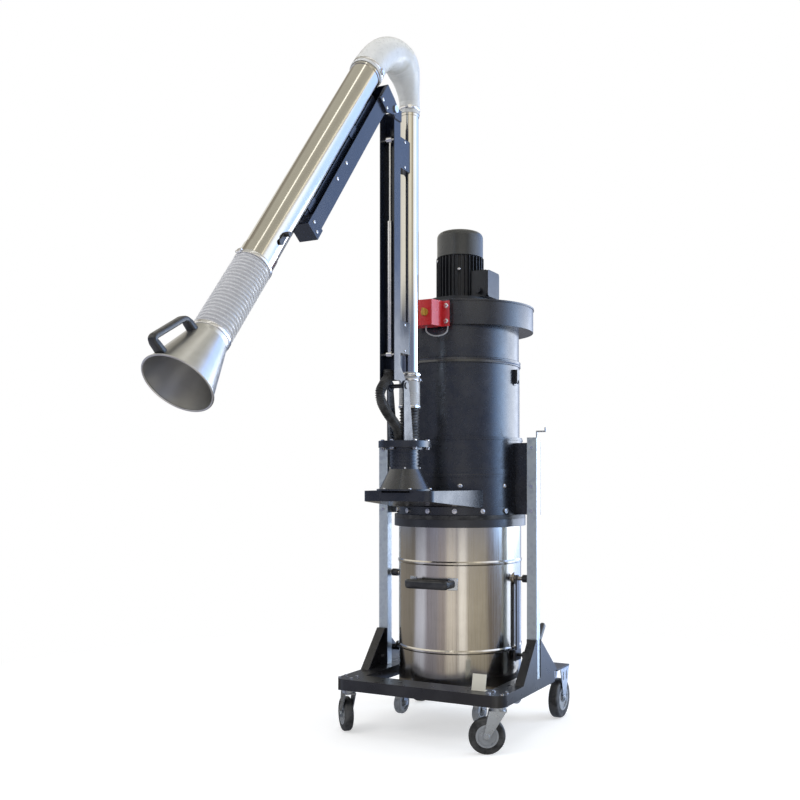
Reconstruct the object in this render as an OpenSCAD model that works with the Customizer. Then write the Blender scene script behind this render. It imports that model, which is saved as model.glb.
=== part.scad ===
// A mobile fume extractor: a cart with a drop-down dust container, a filter chamber
// with a fan and motor on top, and a jointed extraction arm with a small hood.
// The chamber axis is upright, the arm points to the front (-Y), +X is to the right seen from the front.

/* [Cart] */
// Width of the cart over its side rails
cart_w = 668; // [650:2:690]
// Distance from the chamber axis to the front edge of the cart
cart_front = 354; // [330:1:370]
// Distance from the chamber axis to the rear end of the side rails
cart_rear = 160; // [150:1:190]
// Height of the cart's top face above the floor
cart_top = 203; // [200:1:215]
// Height of the cart's folded edge
cart_edge = 40; // [34:1:42]
// Sheet thickness of the cart
cart_sheet = 4; // [3:0.5:5]
// Corner radius of the cart
cart_corner_r = 40; // [25:1:50]
// Clear width of the bay that the container stands in
bay_w = 510; // [506:2:520]
// Distance from the chamber axis to the front of the bay
bay_front = 262; // [256:1:270]

/* [Casters] */
// Diameter of the front wheels
front_wheel_d = 125; // [110:1:127]
// Width of the front wheels
front_wheel_w = 32; // [26:1:36]
// Horizontal distance from the swivel axis to the front axle
front_trail = 36; // [28:1:40]
// Diameter of the rear wheels
rear_wheel_d = 150; // [140:1:156]
// Width of the rear wheels
rear_wheel_w = 38; // [30:1:40]
// Diameter of the container's wheels
drum_wheel_d = 80; // [70:1:84]
// Width of the container's wheels
drum_wheel_w = 28; // [22:1:32]

/* [Container] */
// Outside diameter of the dust container
drum_d = 462; // [452:2:466]
// Height of the container's shell
drum_h = 586; // [560:1:588]
// Wall thickness of the container
drum_wall = 2.5; // [2:0.5:4]
// Distance that the container drops when its lever is released
drum_drop = 55; // [40:1:58]
// Length of the container's front handle
drum_grip_l = 152; // [130:2:190]

/* [Chamber] */
// Outside diameter of the lower chamber
lower_d = 470; // [462:2:474]
// Height of the lower chamber
lower_h = 277; // [260:1:300]
// Outside diameter of the upper chamber
upper_d = 450; // [440:2:456]
// Height of the upper chamber
upper_h = 269; // [250:1:300]
// Outside diameter of the filter cover
cover_d = 445; // [436:1:449]
// Height of the filter cover
cover_h = 134; // [120:1:145]
// Wall thickness of the chamber
chamber_wall = 3; // [2:0.5:4]
// Diameter of the filter cartridge
filter_d = 340; // [300:5:380]

/* [Fan and motor] */
// Diameter of the fan housing
fan_d = 482; // [476:2:500]
// Height of the fan housing
fan_h = 89; // [86:1:105]
// Diameter of the fan wheel
impeller_d = 380; // [340:5:390]
// Bore of the exhaust spigot
exhaust_d = 76; // [60:1:80]
// Diameter of the motor over its cooling fins
motor_d = 180; // [170:1:190]
// Height of the finned motor body
motor_h = 176; // [160:1:190]
// Height of the motor's fan cowl
cowl_h = 81; // [72:1:100]

/* [Inlet] */
// Distance from the chamber axis to the arm's swivel axis
swivel_out = 418; // [410:1:430]
// Width of the inlet duct at its front
duct_w = 270; // [256:2:290]
// Height of the inlet duct at its front
duct_h = 35; // [30:1:42]
// Diameter of the inlet neck
neck_d = 98; // [92:1:104]
// Diameter of the swivel disc
disc_d = 180; // [174:1:190]

/* [Arm] */
// Diameter of the lower tube
lower_tube_d = 62; // [56:1:68]
// Diameter of the upper tube
upper_tube_d = 96; // [90:1:102]
// Length of the upper tube
upper_tube_l = 930; // [900:5:960]
// Width of the arm's beams
beam_w = 56; // [50:1:60]
// Depth of the arm's beams
beam_depth = 40; // [36:1:44]
// Height of the base pivot above the floor
pivot_z = 1236; // [1225:1:1250]
// Height from the base pivot to the elbow pin
lower_arm_h = 896; // [860:2:930]
// Angle of the upper arm below horizontal at rest
arm_drop = 52.3; // [48:0.1:56]

/* [Hood] */
// Length of the ribbed hose between the upper tube and the hood
wrist_l = 276; // [260:2:300]
// Outside diameter of the ribbed hose
wrist_d = 104; // [100:1:110]
// Number of ribs on the ribbed hose
wrist_ribs = 20; // [14:1:28]
// Diameter of the hood's mouth
mouth_d = 182; // [170:2:210]
// Length of the hood's cone
hood_l = 153; // [135:1:170]

/* [Hidden] */
$fn = 96;

// Gap between pieces that slide or sit against curved faces, and between flat faces that part
slip = 0.3;
// Radial clearance of a running pin in its bore
pin_slack = 0.05;
// Radial clearance of a bolt in its hole
bolt_slack = 0.2;
// Overrun of every cut
over = 1;

// Colours
cart_black = [0.09, 0.09, 0.1];
machine_black = [0.13, 0.14, 0.16];
beam_black = [0.16, 0.18, 0.22];
zinc = [0.78, 0.8, 0.82];
steel = [0.72, 0.72, 0.7];
motor_grey = [0.16, 0.17, 0.19];
hub_grey = [0.55, 0.56, 0.58];
rubber_black = [0.06, 0.06, 0.07];
hose_grey = [0.78, 0.79, 0.79];
signal_red = [0.75, 0.07, 0.08];

// Cart
cart_low = cart_top - cart_edge;
rail_out = cart_w / 2;
rear_plate_l = 125;
rear_plate_t = 6;
plate_corner_r = 10;

// Bolts
bolt_r = 4;
bolt_head_r = 9;
bolt_head_h = 6;
small_bolt_r = 3;
small_head_r = 6;
small_head_h = 4;

// Front casters
caster_x = 298;
caster_y = -312;
caster_left_turn = 138;
caster_right_turn = 207;
caster_plate_w = 62;
caster_plate_t = 4;
caster_bolt_x = 24;
caster_bolt_y = 20;
bearing_r = 27;
bearing_h = 10;
crown_t = 4;
crown_half = 30;
cheek_t = 3;
cheek_gap = 2;
cheek_foot_r = 12;
axle_r = 5;
axle_head_r = 9;
axle_head_h = 4;
hub_share = 0.62;
hub_dish = 5;
hub_boss_r = 14;
tyre_round = 9;
wheel_side_gap = 0.5;

// Rear casters
rear_wheel_x = 305;
rear_wheel_y = 250;
rear_plate_in = 4;
rear_fork_half = 46;
rear_slot_w = 9;
rear_slot_l = 34;

// Posts and gussets
post_x = 312;
post_y = -30;
post_w = 38;
post_d = 31;
post_wall = 2.5;
post_top = 1074;
post_bolts = [1038, 898, 808];
gusset_t = 4;
gusset_front = 174;
gusset_back = 156;
gusset_top = 345;
gusset_tip = 8;
gusset_bolts = [331, 237];
gusset_flange_w = 34;
flange_t = 3;

// Container
drum_r = drum_d / 2;
drum_wheel_r = drum_wheel_d / 2;
drum_foot_h = 30;
drum_z = drum_drop + drum_wheel_d + drum_foot_h;
drum_top = drum_z + drum_h;
bead_out = 3;
bead_h = 16;
bead_z_share = [0.24, 0.78];
base_t = 3;
rim_h = 28;
rim_out = 17;
rim_in = 3;
seal_h = 15;
seal_in = 8;
chamber_z = drum_top + rim_h + slip + seal_h;
drum_caster_x = 160;
drum_caster_y = 165;
drum_plate_w = 60;
drum_plate_t = 5;
drum_cheek_t = 3;
grip_r = 14;
grip_out = 50;
grip_rise = 385;
grip_z = drum_z + grip_rise;
bracket_w = 14;
bracket_h = 34;
lug_rise = 395;
lug_z = drum_z + lug_rise;
lug_y = -12;
lug_r = 22;
lug_t = 5;
lug_pin_r = 8;
lug_pin_l = 54;
roller_r = 14;
roller_l = 24;

// Container lift
lever_pivot_y = 70;
lever_pivot_z = 252;
lever_front_l = 84;
lever_rear_l = 150;
lever_rise = 47;
lever_grip_l = 72;
lever_grip_r = 12;
lever_half_turn = asin(drum_drop / 2 / lever_front_l);
lever_in = 263;
lever_t = 7;
lever_w = 22;
lever_eye_r = 13;
lever_hub_r = 16;
link_gap = 2;
link_in = drum_r + lug_t + link_gap;
link_t = 7;
link_w = 26;
lever_pin_r = 6;
lever_pin_y = lever_pivot_y - lever_front_l * cos(lever_half_turn);
lever_pin_z = lever_pivot_z + lever_front_l * sin(lever_half_turn);
slot_extra = lever_front_l * (1 - cos(lever_half_turn)) + link_gap;
pivot_pin_r = 8;

// Chamber
lower_r = lower_d / 2;
upper_r = upper_d / 2;
cover_r = cover_d / 2;
lower_top = chamber_z + lower_h;
upper_top = lower_top + upper_h;
cover_top = upper_top + cover_h;
ring_h = 30;
ring_out = 3;
ring_bolt_count = 15;
ring_bolt_z = chamber_z + ring_h / 2;
ring_bolt_turn = -68;
band_rise = 137;
band_z = chamber_z + band_rise;
band_h = 30;
band_out = 2.5;
flange_h = 6;
bracket_y = post_y + post_d / 2 + slip;
bracket_t = 6;
bracket_lip = 36;
bracket_drop = 15;
bracket_top = lower_top - bracket_drop;
cover_band_out = 3;
cover_band_h = 10;

// Filter
filter_plate_h = 5;
filter_ledge = 18;
filter_h = 329;
filter_bore_share = 0.55;
pleat_count = 36;
pleat_depth = 9;

// Cover latches
latch_w = 22;
latch_drop = 60;
latch_z = upper_top - latch_drop;
latch_h = 46;
latch_out = 12;
latch_base_t = 3;
latch_pin_r = 2;
latch_gap = 0.4;

// Fan housing, impeller and exhaust
fan_r = fan_d / 2;
fan_x = 32;
fan_y = 16;
fan_z = cover_top;
fan_top = fan_z + fan_h;
fan_wall = 3;
eye_r = 110;
pedestal_r = 122;
pedestal_h = 24;
pedestal_top = fan_top + pedestal_h;
pad_w = 150;
pad_y = 246;
pad_z = 6;
exhaust_x = -90;
exhaust_wall = 2;
exhaust_end = 325;
fan_lip = 3;
fan_lip_h = 6;
impeller_gap = 14;
impeller_plate_t = 3;
blade_count = 9;
blade_t = 3;
blade_lean = 38;
hub_r = 30;
shaft_r = 12;
shaft_collar_r = 20;

// Motor
motor_r = motor_d / 2;
motor_flange_r = 118;
motor_flange_h = 11;
motor_z = pedestal_top + motor_flange_h;
motor_core_share = 0.86;
fin_count = 36;
fin_t = 2.4;
cowl_z = motor_z + motor_h;
cowl_inset = 3;
cowl_r = motor_r - cowl_inset;
cowl_wall = 2.5;
cowl_round = 22;
cowl_slot_count = 16;
cowl_slot_w = 6;
cool_fan_r = 68;
cool_fan_h = 20;
cool_blade_t = 3;
end_cap_h = 16;
box_x = 140;
box_half = 50;
box_z = motor_z + slip;
box_h = 98;
lid_t = 9;
gland_r = 11;
gland_l = 18;

// Switch box on the fan housing
switch_h = 90;
switch_drop = 11;
switch_z = fan_z - switch_drop;
switch_out = 305;
switch_face = 42;
switch_knee = 56;
switch_half = 82;
switch_t = 3;
switch_bolt_share = [0.2, 0.8];
knob_x = 15;
knob_z = switch_z + switch_h / 2;
knob_r = 13;
knob_h = 6;
knob_bar_w = 8;
knob_bar_h = 12;
knob_stem_r = 4;

// Inlet duct, cone and neck
duct_wall = 3;
duct_rise = 90;
duct_top = chamber_z + duct_rise;
duct_front = 482;
duct_corner_r = 30;
duct_drop = 27;
duct_spread = 36;
duct_mouth_w = 250;
cone_r = 87;
cone_flange_r = 96;
cone_flange_h = 6;
cone_h = 75;
collar_h = 9;
collar_out = 4;
neck_h = 58;
neck_wall = 3;
neck_rib_out = 3;
neck_ribs = 5;
neck_lip_r = 66;
neck_lip_h = 7;
neck_r = neck_d / 2;
cone_z = duct_top;
neck_z = cone_z + cone_flange_h + cone_h;
neck_top = neck_z + neck_h;

// Swivel disc and its bracket
disc_z = neck_top + neck_lip_h + slip;
disc_h = 22;
disc_top = disc_z + disc_h;
disc_bolt_r = 76;
disc_bolt_turns = [25, 145, 205, 265, 325];
ear_in = beam_w / 2 + slip;
ear_t = 5;
ear_foot_y = [-480, -420];
ear_r = 18;
base_pin_r = 7;
pivot_y = -465;

// Lower arm
tube_wall = 1.5;
lower_tube_y = -387;
lower_tube_r = lower_tube_d / 2;
beam_y = -516;
web_y = beam_y + beam_depth / 2;
beam_wall = 3;
beam_foot = 14;
beam_low = pivot_z + beam_foot;
elbow_y = -543;
elbow_z = pivot_z + lower_arm_h;
beam_head = 10;
beam_high = elbow_z + beam_head;
tube_foot = 26;
lower_tube_low = pivot_z - tube_foot;
tube_head = 75;
lower_tube_high = elbow_z + tube_head;
hose_seat = 78;
hose_low = disc_top + slip;
cuff_r = 36;
spiral_r = 34;
spiral_ribs = 11;
spiral_rib_out = 3;
clip_r = 39;
clip_h = 9;
clamp_foot = 163;
clamp_head = 117;
lower_clamp_z = [pivot_z + clamp_foot, elbow_z - clamp_head];
lower_clamp_h = [107, 103];
clamp_w = 34;
clamp_hold = 24;
spring_r = 10;
spring_rod_r = 4.5;
spring_rise = 100;
spring_low = pivot_z + spring_rise;
spring_head = 86;
spring_rod_l = 270;
spring_l = lower_arm_h - spring_rise - spring_rod_l - spring_head;
spring_eye_r = 11;

// Elbow
hinge_t = 4;
hinge_r = 18;
elbow_pin_r = 7;
elbow_head_r = 12;
elbow_head_h = 5;
upper_hinge_in = beam_w / 2 + hinge_t + 2 * slip;
upper_beam_up = 50;
upper_beam_depth = beam_depth + 12;

// Upper arm, in its own frame: -Y runs along the arm and +Z away from the pin
upper_tube_r = upper_tube_d / 2;
upper_tube_up = 143;
upper_tube_start = 10;
upper_beam_start = 22;
strip_w = 28;
strip_h = 14;
beam_back = 258;
upper_beam_end = upper_tube_l - beam_back;
end_cap_l = 40;
end_cap_out = 4;
clamp_back = 72;
upper_clamp_at = [250, upper_beam_end - clamp_back];
upper_clamp_l = 50;
collar_l = 44;
collar_t = 2;
damper_back = 94;
damper_at = upper_tube_l - damper_back;
damper_pin_r = 4;
blade_slack = 1.5;
damper_plate_w = 14;
damper_plate_l = 30;
damper_plate_t = 3;
damper_knob_r = 7;
damper_knob_l = 16;

// Elbow hose
elbow_hose_r = 51;
elbow_tail_r = 33;
elbow_steps = 18;
elbow_sides = 16;
elbow_wall = 2;
elbow_taper_share = 0.8;
elbow_pull = 125;
elbow_over = 200;
elbow_lead = 6;
elbow_end_back = 36;

// Conduit
conduit_r = 17;
conduit_rib = 3;
conduit_bore = 11;
conduit_sides = 8;
conduit_steps = 60;
conduit_route = [[-6, -518, 1284], [-6, -519, 1262], [-10, -541, 1236], [-12, -559, 1208],
    [-11, -551, 1176], [-6, -524, 1142], [3, -495, 1112], [8, -479, 1088], [9, -476, 1053.6]];

// Wrist hose and hood, in the upper arm's frame
wrist_start = upper_tube_l - upper_tube_start + slip;
wrist_turn = -0.6;
wrist_spare = 6;
wrist_wall = 3;
wrist_rib = 4;
wrist_end_l = 14;
hood_tilt = 3.7;
hood_wall = 2;
hood_neck_l = 12;
hood_neck_r = 52;
hood_lip_r = 3;
handle_r = 7.5;
handle_foot_a = 30;
handle_foot_b = 150;
handle_stand = 34;
handle_lift = 8;
handle_ball = 1;
handle_sides = 32;

// The model's origin is under the middle of its bounding box
function arm_y(s, t) = elbow_y - s * cos(arm_drop) - t * sin(arm_drop);
function arm_z(s, t) = elbow_z - s * sin(arm_drop) + t * cos(arm_drop);
wrist_end_s = wrist_start + (wrist_l + 2 * slip) * cos(wrist_turn);
wrist_end_t = upper_tube_up - (wrist_l + 2 * slip) * sin(wrist_turn);
hood_aim = hood_tilt - wrist_turn;
hood_total = hood_neck_l + hood_l;
handle_flare = (mouth_d / 2 - hood_neck_r) / hood_l;
handle_foot_r = hood_neck_r + (handle_foot_b - hood_neck_l) * handle_flare;
handle_high = handle_foot_r + handle_stand + handle_lift;
front_reach = arm_y(
    wrist_end_s + handle_foot_b * cos(hood_aim) - handle_high * sin(hood_aim),
    wrist_end_t + handle_foot_b * sin(hood_aim) + handle_high * cos(hood_aim)) - handle_r - handle_ball;
axis_y = -(front_reach + exhaust_end) / 2;

// Places every piece against the chamber axis
module on_axis() translate([0, axis_y, 0]) children();

module both_sides() {
    children();
    mirror([1, 0, 0]) children();
}

module ring(r_out, r_in, h) {
    difference() {
        cylinder(r = r_out, h = h);
        up(-over) cylinder(r = r_in, h = h + 2 * over);
    }
}

module up(z) translate([0, 0, z]) children();

// A cylinder along +X from x = 0
module rod_x(r, l) rotate([0, 90, 0]) cylinder(r = r, h = l);

// A cylinder along -Y from y = 0
module rod_front(r, l) rotate([90, 0, 0]) cylinder(r = r, h = l);

module round_rect(w, d, r) {
    square([w - 2 * r, d], center = true);
    square([w, d - 2 * r], center = true);
    for (x = [-1, 1], y = [-1, 1]) translate([x * (w / 2 - r), y * (d / 2 - r)]) circle(r);
}

// Outline of the cart, drawn in by an inset
module cart_outline(inset) {
    translate([0, (cart_rear - cart_front) / 2])
        round_rect(cart_w - 2 * inset, cart_front + cart_rear - 2 * inset, cart_corner_r - inset);
}

// The bay, widened by an amount and open to the rear
module bay_outline(grow) {
    half = bay_w / 2 + grow;
    front = bay_front + grow;
    translate([-half, -front]) square([2 * half, front + cart_rear + over]);
}

// The places of the front casters' bolts on the right-hand side
module at_caster_bolts() {
    for (x = [-1, 1], y = [-1, 1])
        translate([caster_x + x * caster_bolt_x, caster_y + y * caster_bolt_y]) children();
}

module cart_frame() {
    rear_w = rail_out - bay_w / 2;
    color(cart_black) on_axis() difference() {
        union() {
            up(cart_low) difference() {
                linear_extrude(cart_edge) difference() {
                    cart_outline(0);
                    bay_outline(0);
                }
                up(-over) linear_extrude(cart_edge - cart_sheet + over) difference() {
                    cart_outline(cart_sheet);
                    bay_outline(cart_sheet);
                }
            }
            both_sides() intersection() {
                up(cart_low) linear_extrude(cart_sheet) cart_outline(cart_sheet / 2);
                translate([caster_x - caster_plate_w / 2 - cart_sheet, -cart_front, cart_low])
                    cube([rear_w, cart_front - bay_front - cart_sheet / 2, cart_sheet]);
            }
            both_sides() translate([bay_w / 2, cart_rear - cart_sheet, cart_top - rear_plate_t])
                cube([rear_w, rear_plate_l + cart_sheet, rear_plate_t]);
        }
        both_sides() at_caster_bolts() up(cart_low - over)
            cylinder(r = small_bolt_r + bolt_slack, h = cart_edge + 2 * over);
    }
}

// One side's gusset: the front plate on the post, two triangles and a slanted flange
module gusset_right() {
    post_front = post_y - post_d / 2;
    back = post_y + post_d / 2 + slip;
    foot = cart_top;
    side_x = rail_out - gusset_t;
    front_rise = gusset_top - foot;
    slope = atan((gusset_front + post_front) / front_rise);
    front = post_front - slip - flange_t;
    tip = front - gusset_tip;
    rim = flange_t / cos(slope);
    difference() {
        translate([post_x - post_w / 2, front, foot])
            cube([rail_out - post_x + post_w / 2, flange_t, front_rise]);
        for (z = gusset_bolts) translate([post_x, post_front + over, z])
            rod_front(small_bolt_r + bolt_slack, flange_t + slip + 2 * over);
    }
    translate([side_x, 0, 0]) rotate([90, 0, 90]) linear_extrude(gusset_t) {
        polygon([[front, foot], [-gusset_front, foot], [tip, gusset_top], [front, gusset_top]]);
        polygon([[back, foot], [gusset_back, foot], [back + gusset_tip, gusset_top - gusset_tip],
            [back, gusset_top]]);
    }
    intersection() {
        translate([rail_out - gusset_flange_w, 0, 0]) rotate([90, 0, 90])
            linear_extrude(gusset_flange_w - gusset_t / 2) polygon([[-gusset_front, foot], [tip, gusset_top],
                [tip + rim, gusset_top], [rim - gusset_front, foot]]);
        translate([0, -cart_front, foot]) cube([rail_out, cart_front, front_rise]);
    }
    translate([rail_out - gusset_flange_w, back, foot])
        cube([gusset_flange_w - gusset_t / 2, gusset_back - back, flange_t]);
    translate([0, lever_pivot_y, lever_pivot_z]) difference() {
        translate([lever_in + lever_t + slip, 0, 0])
            rod_x(pivot_pin_r + gusset_t, side_x - lever_in - lever_t);
        translate([lever_in, 0, 0]) rod_x(pivot_pin_r + pin_slack, rail_out - lever_in + over);
    }
}

module gussets() {
    color(cart_black) on_axis() both_sides() gusset_right();
}

module post_right() {
    difference() {
        translate([post_x - post_w / 2, post_y - post_d / 2, cart_top])
            cube([post_w, post_d, post_top - cart_top]);
        translate([post_x - post_w / 2 + post_wall, post_y - post_d / 2 + post_wall, cart_top - over])
            cube([post_w - 2 * post_wall, post_d - 2 * post_wall, post_top - cart_top + 2 * over]);
        for (z = concat(post_bolts, gusset_bolts)) translate([post_x, post_y + post_d, z])
            rod_front(small_bolt_r + bolt_slack, 2 * post_d);
    }
}

module posts() {
    color(zinc) on_axis() both_sides() post_right();
}

// A screw along +Y, its head in front of y = 0
module screw_back(l) {
    rod_front(small_head_r, small_head_h);
    translate([0, l, 0]) rod_front(small_bolt_r, l);
}

module frame_bolts() {
    post_front = post_y - post_d / 2;
    color(zinc) on_axis() both_sides() {
        for (z = post_bolts) translate([post_x, post_front, z])
            screw_back(post_d + slip + bracket_t);
        for (z = gusset_bolts) translate([post_x, post_front - slip - flange_t, z])
            screw_back(flange_t + slip + post_wall);
        at_caster_bolts() {
            up(cart_top) cylinder(r = small_head_r, h = small_head_h);
            up(cart_low - slip - caster_plate_t)
                cylinder(r = small_bolt_r, h = cart_edge + slip + caster_plate_t);
        }
    }
    color(zinc) on_axis() for (i = [0:ring_bolt_count - 1]) rotate(ring_bolt_turn + i * 360 / ring_bolt_count)
        translate([lower_r + ring_out + slip, 0, ring_bolt_z]) {
            rod_x(bolt_head_r, bolt_head_h);
            translate([-ring_out - chamber_wall, 0, 0]) rod_x(small_bolt_r, ring_out + chamber_wall);
        }
}

// A wire hook that stands on top of the right-hand post
hook_r = 3;
hook_rise = 22;
hook_reach = 33;
hook_tip = 14;
hook_seat = 20;
module lead_hook() {
    hook_x = post_x + post_w / 2 - post_wall - hook_r - slip;
    color(zinc) on_axis() translate([hook_x, post_y, post_top]) {
        up(-hook_seat) cylinder(r = hook_r, h = hook_seat + hook_rise);
        up(hook_rise) sphere(hook_r);
        up(hook_rise) rod_x(hook_r, hook_reach);
        translate([hook_reach, 0, hook_rise]) sphere(hook_r);
        translate([hook_reach, 0, hook_rise]) cylinder(r = hook_r, h = hook_tip);
    }
}

// A bare pale plate that leans back on the cart's front rail
tag_w = 52;
tag_h = 56;
tag_t = 2;
tag_x = 223;
tag_lean = 12;
tag_foot = 18;
module tag_plate() {
    color([0.86, 0.85, 0.76]) on_axis()
        translate([tag_x - tag_w / 2, -(cart_front + bay_front) / 2, cart_top + slip])
            rotate([90, 0, 90]) linear_extrude(tag_w) {
                square([tag_foot, tag_t]);
                translate([tag_t / 2, tag_t / 2]) rotate(-tag_lean) square([tag_t, tag_h]);
            }
}

// The fixed plates and bearing seats of the front casters
module front_caster_plates() {
    color(zinc) on_axis() both_sides() difference() {
        union() {
            translate([caster_x, caster_y, cart_low - slip - caster_plate_t])
                linear_extrude(caster_plate_t)
                    round_rect(caster_plate_w, caster_plate_w - bolt_head_h, plate_corner_r);
            translate([caster_x, caster_y, cart_low - slip - caster_plate_t - bearing_h])
                cylinder(r = bearing_r, h = bearing_h + caster_plate_t / 2);
        }
        at_caster_bolts() up(cart_low - caster_plate_t - bearing_h)
            cylinder(r = small_bolt_r + bolt_slack, h = cart_edge);
        translate([caster_x, caster_y, cart_low - caster_plate_t - bearing_h - over])
            cylinder(r = axle_r + pin_slack, h = bearing_h + over);
    }
}

// A wheel fork under its swivel axis, with the wheel to the +X side
module fork_shape(wheel_r, wheel_w, trail, crown_z, half) {
    outer = wheel_w / 2 + cheek_gap + cheek_t;
    for (side = [-1, 1]) translate([0, side * (outer - cheek_t / 2) + cheek_t / 2, 0])
        rotate([90, 0, 0]) linear_extrude(cheek_t) {
            polygon([[-half, crown_z], [half, crown_z], [trail + cheek_foot_r, wheel_r],
                [trail - cheek_foot_r, wheel_r]]);
            translate([trail, wheel_r]) circle(cheek_foot_r);
        }
    translate([-half, -outer, crown_z - crown_t]) cube([2 * half, 2 * outer, crown_t]);
    translate([trail, outer + axle_head_h, wheel_r]) rod_front(axle_r, 2 * (outer + axle_head_h));
    for (side = [-1, 1]) translate([trail, side * (outer + axle_head_h / 2) + axle_head_h / 2, wheel_r])
        rod_front(axle_head_r, axle_head_h);
}

front_crown_z = cart_low - caster_plate_t - bearing_h - 2 * slip;
module front_fork(side, turn) {
    color(zinc) on_axis() translate([side * caster_x, caster_y, 0]) rotate(turn) {
        fork_shape(front_wheel_d / 2, front_wheel_w, front_trail, front_crown_z, crown_half);
        up(front_crown_z - crown_t) cylinder(r = axle_r, h = crown_t + bearing_h);
    }
}

module caster_fork_left() front_fork(-1, caster_left_turn);
module caster_fork_right() front_fork(1, caster_right_turn);

rear_crown_z = cart_top - rear_plate_t;
module rear_caster_forks() {
    outer = rear_wheel_w / 2 + cheek_gap + cheek_t;
    color(zinc) on_axis() both_sides() translate([rear_wheel_x, rear_wheel_y, 0]) rotate(90)
        difference() {
            fork_shape(rear_wheel_d / 2, rear_wheel_w, 0, rear_crown_z, rear_fork_half);
            for (x = [-1, 1]) translate([x * rear_slot_l / 2, outer + over, rear_crown_z - rear_slot_l])
                rotate([90, 0, 0]) linear_extrude(2 * (outer + over))
                    round_rect(rear_slot_w, rear_slot_l, rear_slot_w / 2 - slip);
        }
}

// A tyre about the X axis of the wheel's own frame, drawn about Z and turned
module tyre_shape(d, w) {
    r_in = d / 2 * hub_share + slip / 2;
    half = w / 2 - wheel_side_gap;
    rotate([90, 0, 0]) up(-w / 2) rotate_extrude() {
        translate([r_in, w / 2 - half]) square([d / 2 - tyre_round - r_in, 2 * half]);
        translate([d / 2 - tyre_round - over, w / 2 - half + tyre_round])
            square([tyre_round + over, 2 * half - 2 * tyre_round]);
        for (y = [w / 2 - half + tyre_round, w / 2 + half - tyre_round])
            translate([d / 2 - tyre_round, y]) circle(tyre_round);
    }
}

// The hub: a dished web between a rim and a bored boss
module hub_shape(d, w) {
    r = d / 2 * hub_share;
    rim = r / 6;
    rotate([90, 0, 0]) difference() {
        up(-w / 2) cylinder(r = r, h = w);
        for (side = [0, 1]) mirror([0, 0, side]) up(w / 2 - hub_dish)
            ring(r - rim, hub_boss_r, hub_dish + over);
        up(-w) cylinder(r = axle_r + pin_slack, h = 2 * w);
    }
}

module at_front_wheel(side, turn) on_axis() translate([side * caster_x, caster_y, 0]) rotate(turn)
    translate([front_trail, 0, front_wheel_d / 2]) children();
module at_rear_wheel(side)
    on_axis() translate([side * rear_wheel_x, rear_wheel_y, rear_wheel_d / 2]) rotate(90) children();
module front_tyre() color(rubber_black) tyre_shape(front_wheel_d, front_wheel_w);
module rear_tyre() color(rubber_black) tyre_shape(rear_wheel_d, rear_wheel_w);
module front_hub() color(hub_grey) hub_shape(front_wheel_d, front_wheel_w);
module rear_hub() color(hub_grey) hub_shape(rear_wheel_d, rear_wheel_w);

module tyre_front_left() at_front_wheel(-1, caster_left_turn) front_tyre();
module tyre_front_right() at_front_wheel(1, caster_right_turn) front_tyre();
module tyre_rear_left() at_rear_wheel(-1) rear_tyre();
module tyre_rear_right() at_rear_wheel(1) rear_tyre();
module hub_front_left() at_front_wheel(-1, caster_left_turn) front_hub();
module hub_front_right() at_front_wheel(1, caster_right_turn) front_hub();
module hub_rear_left() at_rear_wheel(-1) rear_hub();
module hub_rear_right() at_rear_wheel(1) rear_hub();

// The container's wall in section, with its beads
module drum_section(shift) {
    beads = [for (s = bead_z_share) s * drum_h];
    outer = concat([[drum_r - shift, 0]],
        [for (z = beads) each [[drum_r - shift, z - bead_h / 2], [drum_r - shift + bead_out, z - bead_h / 6],
            [drum_r - shift + bead_out, z + bead_h / 6], [drum_r - shift, z + bead_h / 2]]],
        [[drum_r - shift, drum_h]]);
    inner = [for (i = [len(outer) - 1:-1:0]) outer[i] - [drum_wall, 0]];
    polygon(concat(outer, inner));
}

module container_body() {
    color(steel) on_axis() up(drum_z) {
        rotate_extrude($fn = 128) drum_section(0);
        cylinder(r = drum_r - drum_wall / 2, h = base_t);
        both_sides() translate([drum_r - drum_wall / 2, lug_y, lug_z - drum_z]) {
            rod_x(lug_r, lug_t);
            rod_x(lug_pin_r, drum_wall / 2 + lug_t + lug_pin_l);
        }
    }
}

module container_rim() {
    color(cart_black) on_axis() up(drum_top)
        ring(drum_r + rim_out, drum_r - drum_wall - rim_in, rim_h);
}

module container_handle() {
    color(cart_black) on_axis() difference() {
        up(grip_z) {
            translate([drum_grip_l / 2, -drum_r - grip_out, 0]) rotate([0, -90, 0])
                cylinder(r = grip_r, h = drum_grip_l);
            both_sides() translate([drum_grip_l / 2, -drum_r - grip_out, -bracket_h / 2]) {
                cube([bracket_w, grip_out + drum_r / 4, bracket_h]);
                up(bracket_h / 2) rod_x(bracket_h / 2, bracket_w);
            }
        }
        cylinder(r = drum_r + slip, h = chamber_z);
    }
}

// The container's four rigid casters on its base plate
module container_casters() {
    crown = drum_z - drum_plate_t;
    outer = drum_wheel_w / 2 + cheek_gap + drum_cheek_t;
    color(zinc) on_axis() for (x = [-1, 1], y = [-1, 1])
        translate([x * drum_caster_x, y * drum_caster_y, 0]) {
            up(crown) linear_extrude(drum_plate_t)
                round_rect(drum_plate_w, drum_plate_w, plate_corner_r);
            up(drum_drop) rotate(90)
                fork_shape(drum_wheel_r, drum_wheel_w, 0, crown - drum_drop + crown_t / 2, drum_plate_w / 3);
        }
}

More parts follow.
